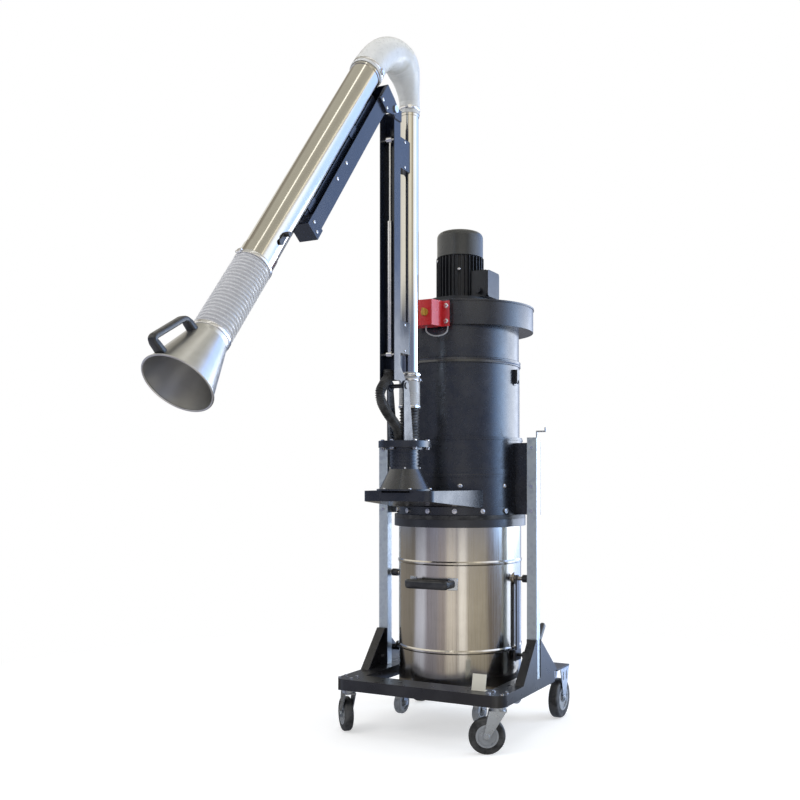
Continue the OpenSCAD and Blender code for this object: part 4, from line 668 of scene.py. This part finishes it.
# ---------------------------------------------------------------- wrist hose
# A spiral of ribs between two plain cuffs
WRIST_RINGS, WRIST_SIDES = 330, 72
WRIST_TURNS, WRIST_CUFF, PLAIN_END, RIB_FADE = 20, 14, 12, 5
WRIST_CORE, WRIST_RIB, WRIST_CUFF_R = 48.2, 4.2, 0.052
WRIST_WALL, WRIST_BORE = 0.0016, 0.0495
wrist_path = [WRIST + along_wrist * (HOSE_L / 1000 * i / WRIST_RINGS) for i in range(WRIST_RINGS + 1)]
PITCH = (HOSE_L - 2 * WRIST_CUFF) / WRIST_TURNS


def wrist_rib(i, angle):
    s = HOSE_L * i / WRIST_RINGS
    if s < PLAIN_END or s > HOSE_L - PLAIN_END:
        return 0.0
    fade = min(1.0, (s - PLAIN_END) / RIB_FADE, (HOSE_L - PLAIN_END - s) / RIB_FADE)
    return bump_of((s - WRIST_CUFF) / PITCH - angle / (2 * PI), 0.27) * fade


def wrist_radius(i, angle):
    s = HOSE_L * i / WRIST_RINGS
    if s < PLAIN_END or s > HOSE_L - PLAIN_END:
        return WRIST_CUFF_R
    sag = 0.6 * math.sin(2 * PI * ((s - WRIST_CUFF) / PITCH - angle / (2 * PI)) + PI / 2)
    return (WRIST_CORE + WRIST_RIB * wrist_rib(i, angle) + 0.5 * sag) / 1000


def wrist_bore(i, angle):
    return min(wrist_radius(i, angle) - WRIST_WALL, WRIST_BORE)


verts, faces = tube(wrist_path, wrist_radius, wrist_bore, WRIST_SIDES)
wrist_hose = piece("wrist_hose_skin", verts, faces, wrist_pvc, 70)
ribs = [wrist_rib(i, 2 * PI * k / WRIST_SIDES) for i in range(WRIST_RINGS + 1) for k in range(WRIST_SIDES)]
mark_ribs(wrist_hose, ribs + ribs)
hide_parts("wrist_hose")
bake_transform(wrist_hose)

# ---------------------------------------------------------------- base hose
# A dark spiral from the disc, 4 mm into a pale cuff that is ribbed in its lower part
HOSE_LOW, CUFF_LOW, CUFF_HIGH = 1052.9, 1166.4, 1288.0
SPIRAL_RINGS, BASE_SIDES = 150, 56
SPIRAL_L = CUFF_LOW + 4 - HOSE_LOW
SPIRAL_CORE, SPIRAL_RIB, SPIRAL_BORE = 30.8, 3.2, 0.029
base_path = [at(0, TUBE_Y, HOSE_LOW + SPIRAL_L * i / SPIRAL_RINGS) for i in range(SPIRAL_RINGS + 1)]
SPIRAL = (CUFF_LOW - HOSE_LOW) / 11


def spiral_radius(i, angle):
    s = SPIRAL_L * i / SPIRAL_RINGS
    rib = min(1.0, 1.4 * bump_of(s / SPIRAL - angle / (2 * PI), 0.33))
    return (SPIRAL_CORE + SPIRAL_RIB * rib) / 1000


verts, faces = tube(base_path, spiral_radius, lambda i, a: SPIRAL_BORE, BASE_SIDES)
spiral = piece("base_spiral_hose", verts, faces, soft_black, 70)
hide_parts("base_hose")
CUFF_RINGS = 120
CUFF_RIBS, RIBBED_SHARE = 17, 0.45
CUFF_CORE, CUFF_RIB, CUFF_END_R = 35.6, 0.8, 0.0364
cuff_path = [at(0, TUBE_Y, CUFF_LOW + (CUFF_HIGH - CUFF_LOW) * i / CUFF_RINGS) for i in range(CUFF_RINGS + 1)]


def cuff_radius(i, angle):
    s = i / CUFF_RINGS
    if s < 0.05 or s > 0.97:
        return CUFF_END_R
    rib = bump_of(s * CUFF_RIBS, 0.32) * (1.0 if s < RIBBED_SHARE else 0.0)
    return (CUFF_CORE + CUFF_RIB * rib) / 1000


def cuff_bore(i, angle):
    return 0.0326 if i > 52 else 0.0342 if i < 4 else 0.0336


def cuff_mark(i):
    s = i / CUFF_RINGS
    return 0.6 if s < RIBBED_SHARE and bump_of(s * CUFF_RIBS, 0.32) > 0.4 else 0.15


verts, faces = tube(cuff_path, cuff_radius, cuff_bore, BASE_SIDES)
cuff = piece("base_cuff", verts, faces, cuff_pvc, 60)
ribs = [cuff_mark(i) for i in range(CUFF_RINGS + 1) for _ in range(BASE_SIDES)]
mark_ribs(cuff, ribs + ribs)
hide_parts("base_hose")
for ob in (spiral, cuff):
    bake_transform(ob)


# ---------------------------------------------------------------- clamps on the hoses
def clamp(pile, centre, axis, r, width, towards):
    """A worm-drive band: a rolled strip with its screw housing."""
    axis = Vector(axis).normalized()
    towards = Vector(towards)
    towards = (towards - axis * towards.dot(axis)).normalized()
    beside = axis.cross(towards)
    w = width / 2
    strip = [(-w, r - 0.6), (-w, r + 0.5), (-w + 0.8, r + 1.0),
             (w - 0.8, r + 1.0), (w, r + 0.5), (w, r - 0.6)]
    pile.put(lathe(centre, axis, strip, 64))
    seat = centre + towards * ((r + 3.6) / 1000)
    pile.put(cut_box(seat, beside, axis, towards, (15, width + 3, 6.4), 1.2))
    pile.put(hex_head(seat + beside * 0.0074, beside, 3.6, 5))
    pile.put(lathe(seat - beside * 0.011, beside, [(0, 0.2), (0, 2.2), (4, 2.6), (4, 0.2)], 14))


UPRIGHT = (0, 0, 1)
CLAMPS = [
    ("clamp_elbow_upper", "upper_arm", [(on_arm(8, TUBE_UP), along_arm, 52.3, 11, (0.8, -0.3, -0.6))]),
    ("clamp_elbow_lower", "lower_arm", [(at(0, TUBE_Y, 2189), UPRIGHT, 35.3, 10, (0.5, -0.8, 0))]),
    ("clamp_wrist_upper", "upper_arm", [
        (WRIST + along_wrist * 0.0065, along_wrist, 52.2, 11, (-0.2, -0.6, 1))]),
    ("clamp_wrist_hood", "hood", [
        (HOSE_END - along_wrist * 0.0065, along_wrist, 52.2, 11, (-0.6, -0.8, 0.5))]),
    ("clamp_cuff_top", "lower_arm", [
        (at(0, TUBE_Y, 1279), UPRIGHT, 36.6, 9, (0.9, -0.3, 0)),
        (at(0, TUBE_Y, 1262), UPRIGHT, 36.2, 7, (0.9, 0.2, 0))]),
]
for name, body, bands in CLAMPS:
    pile = Pile()
    for centre, axis, r, width, towards in bands:
        clamp(pile, centre, axis, r, width, towards)
    pile.piece(name, bolt_zinc, body)
pile = Pile()
clamp(pile, at(0, TUBE_Y, 1171), UPRIGHT, 36.6, 9, (0.9, -0.4, 0))
low_clamp = piece("clamp_cuff_low", pile.v, pile.f, bolt_zinc)
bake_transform(low_clamp)

# ---------------------------------------------------------------- hood handle
# A bow over the cone, drawn in the hood's middle plane: two feet on the cone, a grip rising towards the lip
NECK_R, MOUTH_R, NECK_L, FLARE_L = 52, 91, 12, 153
FLARE = (MOUTH_R - NECK_R) / FLARE_L
near, far = 30.0, 150.0
foot_a, foot_b = NECK_R + (near - NECK_L) * FLARE, NECK_R + (far - NECK_L) * FLARE
high_a, high_b = foot_a + 34, foot_b + 42
corner = 15.0
pa, pb = Vector((near, high_a)), Vector((far, high_b))
run = (pb - pa).normalized()
line = [Vector((near, foot_a - 2)), Vector((near, foot_a + 6))]
line += rounded_corner(Vector((near, high_a - corner)), pa, pa + run * corner)
line += [pa + run * corner + (pb - pa - run * 2 * corner) * k / 8 for k in range(1, 8)]
line += rounded_corner(pb - run * corner, pb, Vector((far, high_b - corner)))
line += [Vector((far, foot_b + 8)), Vector((far, foot_b - 1))]
path = [on_hood(p.x, p.y) for p in line]


def bow_section(i, angle):
    """Rounded rectangle: 24 wide across the hood, 15 deep, fuller at its feet."""
    swell = 1.0 + 0.25 * max(0.0, 1 - min(i, len(path) - 1 - i) / 4)
    return rounded_section(angle, 0.0120, 0.0074, 4.0) * swell


verts, faces = tube(path, bow_section, None, 40)
handle = piece("hood_bow_handle", verts, faces, black_plastic, 50)
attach(handle, "hood")
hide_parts("hood_handle")

# ---------------------------------------------------------------- container grip
# A bow in front of the container: (across, out from the axis) at one height
GRIP_X, GRIP_OUT, GRIP_Z = 80, 270, 550
line = [Vector((-GRIP_X, 216.5)), Vector((-GRIP_X, 240))]
line += rounded_corner(Vector((-GRIP_X, 256)), Vector((-GRIP_X, GRIP_OUT)), Vector((-64, GRIP_OUT)))
line += [Vector((-56 + 14 * k, GRIP_OUT)) for k in range(9)]
line += rounded_corner(Vector((64, GRIP_OUT)), Vector((GRIP_X, GRIP_OUT)), Vector((GRIP_X, 256)))
line += [Vector((GRIP_X, 240)), Vector((GRIP_X, 216.5))]
path = [at(p.x, -p.y, GRIP_Z) for p in line]


def grip_section(i, angle):
    """Rounded grip: 33 high, 20 deep, slimmer in its feet."""
    slim = 1.0 if 4 < i < len(path) - 5 else 0.82
    return rounded_section(angle, 0.0165, 0.0100, 2.6) * slim


verts, faces = tube(path, grip_section, None, 40, Vector((0, 0, 1)))
grip = piece("container_grip", verts, faces, black_plastic, 50)
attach(grip, "container")
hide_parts("container_handle")
pile = Pile()
for side in (-1, 1):
    out = Vector((side * GRIP_X, -216, 0)).normalized()
    beside = Vector((-out.y, out.x, 0))
    seat = at(side * GRIP_X, -216, GRIP_Z) + out * 0.0016
    pile.put(cut_box(seat, beside, Vector((0, 0, 1)), out, (34, 44, 2.4), 0.8))
pile.piece("grip_plates", zinc, "container", slot="zinc")

# ---------------------------------------------------------------- bolt heads
# The chamber's lower ring: a row all the way round
pile = Pile()
for i in range(15):
    out = outward(-68 + i * 24)
    pile.put(pan_head(at(0, 0, 809.3) + out * 0.2382, out, 9.5, 6.8))
pile.piece("ring_bolts", bolt_zinc, "machine", slot="zinc")

# The swivel disc's bolts: a hexagon below and one above
pile = Pile()
for turn in (25, 145, 205, 265, 325):
    spot = at(0, SWIVEL_Y, 1030.5) + outward(turn) * 0.076
    pile.put(hex_head(spot, (0, 0, -1), 8.0, 6.6, 1.2))
    pile.put(hex_head(spot + Vector((0, 0, 0.0222)), (0, 0, 1), 6.6, 4.2, 1.0))
pile.piece("disc_bolts", bolt_zinc, "arm_base", slot="zinc")

# The switch box's flanges
pile = Pile()
for x in (-69, 69):
    for z in (1481.3, 1535.3):
        pile.put(pan_head(at(x, -249.1, z), (0, -1, 0), 9.5, 5.2))
pile.piece("switch_box_bolts", bolt_zinc, "machine", slot="zinc")

# Screws in the chamber above the duct
pile = Pile()
for degrees in (-63.5, -20, 20, 160, 200):
    out = outward(degrees)
    pile.put(pan_head(at(0, 0, 899) + out * 0.2349, out, 8.5, 3.2))
pile.piece("chamber_screws", bolt_zinc, "machine", slot="zinc")

# Bands round the chamber, as (height, radius): the cover's clamp and the seam of the lower shell
COVER_BAND = [(1341, 223), (1341, 228), (1342, 229), (1348, 229), (1350, 228), (1353, 228), (1355, 229),
              (1360, 229), (1361.5, 227.5), (1361.5, 223)]
CHAMBER_BAND = [(934, 234.6), (934.8, 237.2), (941, 237.6), (943, 236), (945, 236), (947, 237.6),
                (953.2, 237.2), (954, 234.6)]
for name, profile in (("cover_band", COVER_BAND), ("chamber_band", CHAMBER_BAND)):
    verts, faces = lathe(at(0, 0, 0), UPRIGHT, profile, 128)
    band = piece(name, verts, faces, machine_black, 35)
    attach(band, "machine")

# Screws of the cone's flange and of its neck
pile = Pile()
for k in range(6):
    spot = at(0, SWIVEL_Y, 890.2) + outward(10 + 60 * k) * 0.0895
    pile.put(pan_head(spot, UPRIGHT, 5.4, 4.5))
for k in range(5):
    out = outward(-60 + 72 * k)
    pile.put(pan_head(at(0, SWIVEL_Y, 960.8) + out * 0.0528, out, 3.6, 2.6))
pile.piece("cone_screws", bolt_zinc, "machine", slot="zinc")

# Screws on both sides of the upper beam, on its hinge plates and in its end cap
pile = Pile()
for side in (-1, 1):
    for s, t, x, r in ((372, 62, 28, 5.5), (449, 62, 28, 5.5), (44, 64, 36.6, 6.0), (44, 34, 36.6, 5.0),
                       (650, 63, 32, 5.0), (662, 37, 32, 5.0)):
        pile.put(pan_head(on_arm(s, t, side * x), (side, 0, 0), r, 2.8))
pile.piece("upper_beam_screws", bolt_zinc, "upper_arm", slot="zinc")

# Screws in the two blocks that hold the lower tube
pile = Pile()
for z in (1356, 1442, 1973, 2057):
    for side in (-1, 1):
        pile.put(pan_head(at(side * 17, -448, z), (side, 0, 0), 4.6, 2.6))
pile.piece("lower_beam_screws", bolt_zinc, "lower_arm", slot="zinc")

# Bosses on the motor
pile = Pile()
pile.put(pan_head(at(40, -88, 1700), Vector((0.35, -0.93, 0)), 5.5, 5))
pile.put(pan_head(at(-58, -72, 1740), Vector((-0.6, -0.8, 0)), 5.5, 5))
pile.piece("motor_bosses", bolt_zinc, "machine", slot="zinc")

# ---------------------------------------------------------------- floor, walls, light
def bare(name, verts, faces):
    """An object of plain faces that has no look yet."""
    mesh = bpy.data.meshes.new(name)
    mesh.from_pydata(verts, [], faces)
    ob = bpy.data.objects.new(name, mesh)
    scene.collection.objects.link(ob)
    return ob


def square(half, z):
    """Corners and the one face of a level square."""
    return [(-half, -half, z), (half, -half, z), (half, half, z), (-half, half, z)], [(0, 1, 2, 3)]


def camera_like(t):
    """One for camera, mirror and transmitted rays, nought for the rest."""
    rays = t.nodes.new("ShaderNodeLightPath")
    last = rays.outputs["Is Camera Ray"]
    for name in ("Is Glossy Ray", "Is Transmission Ray"):
        most = t.nodes.new("ShaderNodeMath")
        most.operation = "MAXIMUM"
        t.links.new(last, most.inputs[0])
        t.links.new(rays.outputs[name], most.inputs[1])
        last = most.outputs[0]
    return last


# The floor is lit near the machine, where it holds the shadow, and plain white farther out
floor = bare("floor", *square(40, 0))
floor.location = (0, AXIS_Y / 1000 - 0.3, 0)
k = Look("floor")
k.t.nodes.remove(k.b)
soft = k.add("ShaderNodeBsdfDiffuse")
soft.inputs["Color"].default_value = (0.72, 0.72, 0.72, 1)
glow = k.add("ShaderNodeEmission")
glow.inputs["Strength"].default_value = 0.50
both = k.add("ShaderNodeAddShader")
k.join(soft, "BSDF", both, 0)
k.join(glow, "Emission", both, 1)
plain = k.add("ShaderNodeEmission")
plain.inputs["Strength"].default_value = 1.0
far = k.add("ShaderNodeVectorMath", operation="LENGTH")
k.join(k.coord, "Object", far, 0)
fade = k.add("ShaderNodeMixShader")
k.join(k.span(far, "Value", 0.0, 1.0, 1.0, 2.6), "Result", fade, "Fac")
k.join(both, "Shader", fade, 1)
k.join(plain, "Emission", fade, 2)
pick = k.add("ShaderNodeMixShader")
k.t.links.new(camera_like(k.t), pick.inputs["Fac"])
k.join(soft, "BSDF", pick, 1)
k.join(fade, "Shader", pick, 2)
k.join(pick, "Shader", k.out, "Surface")
floor.data.materials.append(k.m)

world = bpy.data.worlds.new("studio")
scene.world = world
world.use_nodes = True
t = world.node_tree
t.nodes.clear()
out = t.nodes.new("ShaderNodeOutputWorld")
lit = t.nodes.new("ShaderNodeBackground")
lit.inputs["Color"].default_value = (0.95, 0.97, 1.0, 1)
lit.inputs["Strength"].default_value = 0.62
white = t.nodes.new("ShaderNodeBackground")
white.inputs["Color"].default_value = (1, 1, 1, 1)
white.inputs["Strength"].default_value = 1.0
pick = t.nodes.new("ShaderNodeMixShader")
t.links.new(camera_like(t), pick.inputs["Fac"])
t.links.new(lit.outputs[0], pick.inputs[1])
t.links.new(white.outputs[0], pick.inputs[2])
t.links.new(pick.outputs[0], out.inputs["Surface"])

# A round studio room of pale and dark panels, which only polished surfaces show: a skirt on the floor that
# brightens outwards, a wall in two heights, and a ceiling with two light strips along Y
ROOM_R, ROOM_TOP = 7.0, 7.0
SKIRT = [
    (-180, (.30, .28, .25)), (-92, (.27, .25, .22)), (-86, (.62, .66, .80)), (-68, (.78, .83, 1.0)),
    (-62, (.36, .35, .42)), (-42, (.38, .37, .42)), (-38, (.46, .42, .43)), (-27, (.46, .42, .42)),
    (-22, (.95, .90, .82)), (-9, (.92, .87, .80)), (-5, (.46, .42, .40)), (-1, (1.3, 1.28, 1.22)),
    (9, (1.25, 1.22, 1.18)), (14, (.56, .52, .43)), (46, (.50, .46, .37)), (54, (.24, .21, .18)),
    (84, (.22, .20, .19)), (93, (1.1, 1.25, 1.55)), (112, (1.7, 2.0, 2.5)), (120, (.95, 1.25, 2.0)),
    (150, (.9, 1.2, 1.9)), (160, (.36, .38, .46)), (180, (.30, .28, .25)),
]
LOW_WALL = [
    (-180, (.12, .13, .16)), (-125, (.20, .26, .40)), (-108, (.18, .24, .38)), (-96, (.06, .08, .15)),
    (-64, (.06, .08, .15)), (-48, (.18, .22, .36)), (40, (.18, .22, .36)), (58, (.34, .44, .72)),
    (72, (1.2, 1.9, 3.3)), (88, (2.8, 4.0, 6.0)), (100, (4.2, 5.0, 6.4)), (112, (4.8, 5.2, 5.9)),
    (140, (3.6, 4.0, 4.8)), (152, (.8, .9, 1.2)), (180, (.12, .13, .16)),
]
HIGH_WALL = [
    (-180, (.70, .68, .62)), (-100, (1.0, .98, .92)), (-30, (1.1, 1.08, 1.0)), (-22, (.46, .42, .34)),
    (-12, (.46, .42, .34)), (-6, (1.0, .96, .84)), (22, (1.0, .95, .80)), (30, (.50, .45, .35)),
    (44, (.50, .45, .35)), (52, (1.2, 1.25, 1.35)), (90, (1.5, 1.7, 2.1)), (106, (.85, 1.2, 2.1)),
    (140, (.8, 1.15, 1.95)), (160, (.5, .55, .7)), (180, (.70, .68, .62)),
]
# The ramps hold 0 to 1, so tones are divided by this and the glow is multiplied by it
PEAK = 8.0


def room_part(name, verts, faces, shade):
    """A glowing surface that only polished surfaces show."""
    ob = bare(name, verts, faces)
    ob.location = (0, AXIS_Y / 1000, 0)
    k = Look(name)
    k.t.nodes.remove(k.b)
    glow = k.add("ShaderNodeEmission")
    shade(k, glow)
    k.join(glow, "Emission", k.out, "Surface")
    ob.data.materials.append(k.m)
    ob.visible_camera = False
    ob.visible_diffuse = False
    ob.visible_shadow = False
    ob.visible_transmission = False
    ob.visible_volume_scatter = False
    return ob


def by_share(panels, low, high):
    """Ramp stops of panels that are placed between low and high, dimmed to fit in 0 to 1."""
    return [((x - low) / (high - low), tuple(v / PEAK for v in colour)) for x, colour in panels]


def wall_shade(k, glow):
    """The three rings of panels by direction, mixed by height, with the floor's part dim near the machine."""
    split = k.add("ShaderNodeSeparateXYZ")
    k.join(k.coord, "Object", split, "Vector")
    turn = k.add("ShaderNodeMath", operation="ARCTAN2")
    k.join(split, "Y", turn, 0)
    k.join(split, "X", turn, 1)
    share = k.span(turn, "Value", 0.0, 1.0, -PI, PI)
    tone = None
    for panels, low, high in ((SKIRT, 0, 0), (LOW_WALL, 0.30, 0.45), (HIGH_WALL, 2.6, 3.0)):
        band = k.ramp(share, "Result", by_share(panels, -180, 180))
        if tone is not None:
            over = k.add("ShaderNodeMixRGB")
            k.join(k.span(split, "Z", 0.0, 1.0, low, high), "Result", over, "Fac")
            k.join(tone, "Color", over, "Color1")
            k.join(band, "Color", over, "Color2")
            band = over
        tone = band
    k.join(tone, "Color", glow, "Color")
    flat = k.add("ShaderNodeCombineXYZ")
    k.join(split, "X", flat, "X")
    k.join(split, "Y", flat, "Y")
    far = k.add("ShaderNodeVectorMath", operation="LENGTH")
    k.join(flat, "Vector", far, 0)
    k.join(k.span(far, "Value", 0.22 * PEAK, PEAK, 0.5, 2.4), "Result", glow, "Strength")


CEILING_GREY, STRIP, WARM = (.56, .54, .47), (2.1, 2.05, 1.9), (1.5, 1.4, 1.15)
CEILING = [
    (-7, (.30, .27, .22)), (-4.2, (.36, .33, .28)), (-3.2, CEILING_GREY), (0.5, CEILING_GREY), (0.62, STRIP),
    (0.95, STRIP), (1.07, CEILING_GREY), (2.6, (.50, .48, .42)), (4.8, CEILING_GREY), (4.9, WARM),
    (5.3, WARM), (5.45, (.62, .6, .55)), (6.2, (1.0, 1.02, 1.1)), (7, (1.5, 1.6, 1.8)),
]


def ceiling_shade(k, glow):
    """Bands across X, each running along Y."""
    split = k.add("ShaderNodeSeparateXYZ")
    k.join(k.coord, "Object", split, "Vector")
    share = k.span(split, "X", 0.0, 1.0, -ROOM_R, ROOM_R)
    tone = k.ramp(share, "Result", by_share(CEILING, -ROOM_R, ROOM_R))
    k.join(tone, "Color", glow, "Color")
    glow.inputs["Strength"].default_value = PEAK


# The skirt lies just over the floor; its inner edge is left open under the machine
ROOM_SIDES = 96
verts, faces = [], []
rim = [(0.05, 0.004), (ROOM_R, 0.004), (ROOM_R, ROOM_TOP)]
for n in range(ROOM_SIDES):
    a = 2 * PI * n / ROOM_SIDES
    verts += [(r * math.cos(a), r * math.sin(a), z) for r, z in rim]
for n in range(ROOM_SIDES):
    m = (n + 1) % ROOM_SIDES
    faces += [(3 * n + j, 3 * n + j + 1, 3 * m + j + 1, 3 * m + j) for j in (0, 1)]
room = room_part("studio_wall", verts, faces, wall_shade)
room.rotation_euler = (0, 0, math.radians(-63.36))
room_part("studio_ceiling", *square(ROOM_R + 0.01, ROOM_TOP), ceiling_shade)


def lamp(name, place, aim, size, power, colour):
    light = bpy.data.lights.new(name, "AREA")
    light.shape = "RECTANGLE"
    light.size, light.size_y = size
    light.energy = power
    light.color = colour
    ob = bpy.data.objects.new(name, light)
    scene.collection.objects.link(ob)
    ob.location = place
    ob.rotation_euler = (Vector(aim) - Vector(place)).to_track_quat("-Z", "Y").to_euler()
    ob.visible_glossy = False


lamp("key", (-2.6, -3.2, 4.2), (0, 0.3, 1.0), (2.6, 2.6), 58, (1.0, 0.985, 0.96))
lamp("window", (2.9, 2.4, 1.5), (0, 0.5, 0.8), (2.2, 2.8), 70, (0.70, 0.83, 1.0))
lamp("top", (0.4, 0.2, 4.8), (0, 0.3, 0), (3.0, 3.0), 40, (1.0, 1.0, 1.0))

scene.view_settings.view_transform = "Standard"
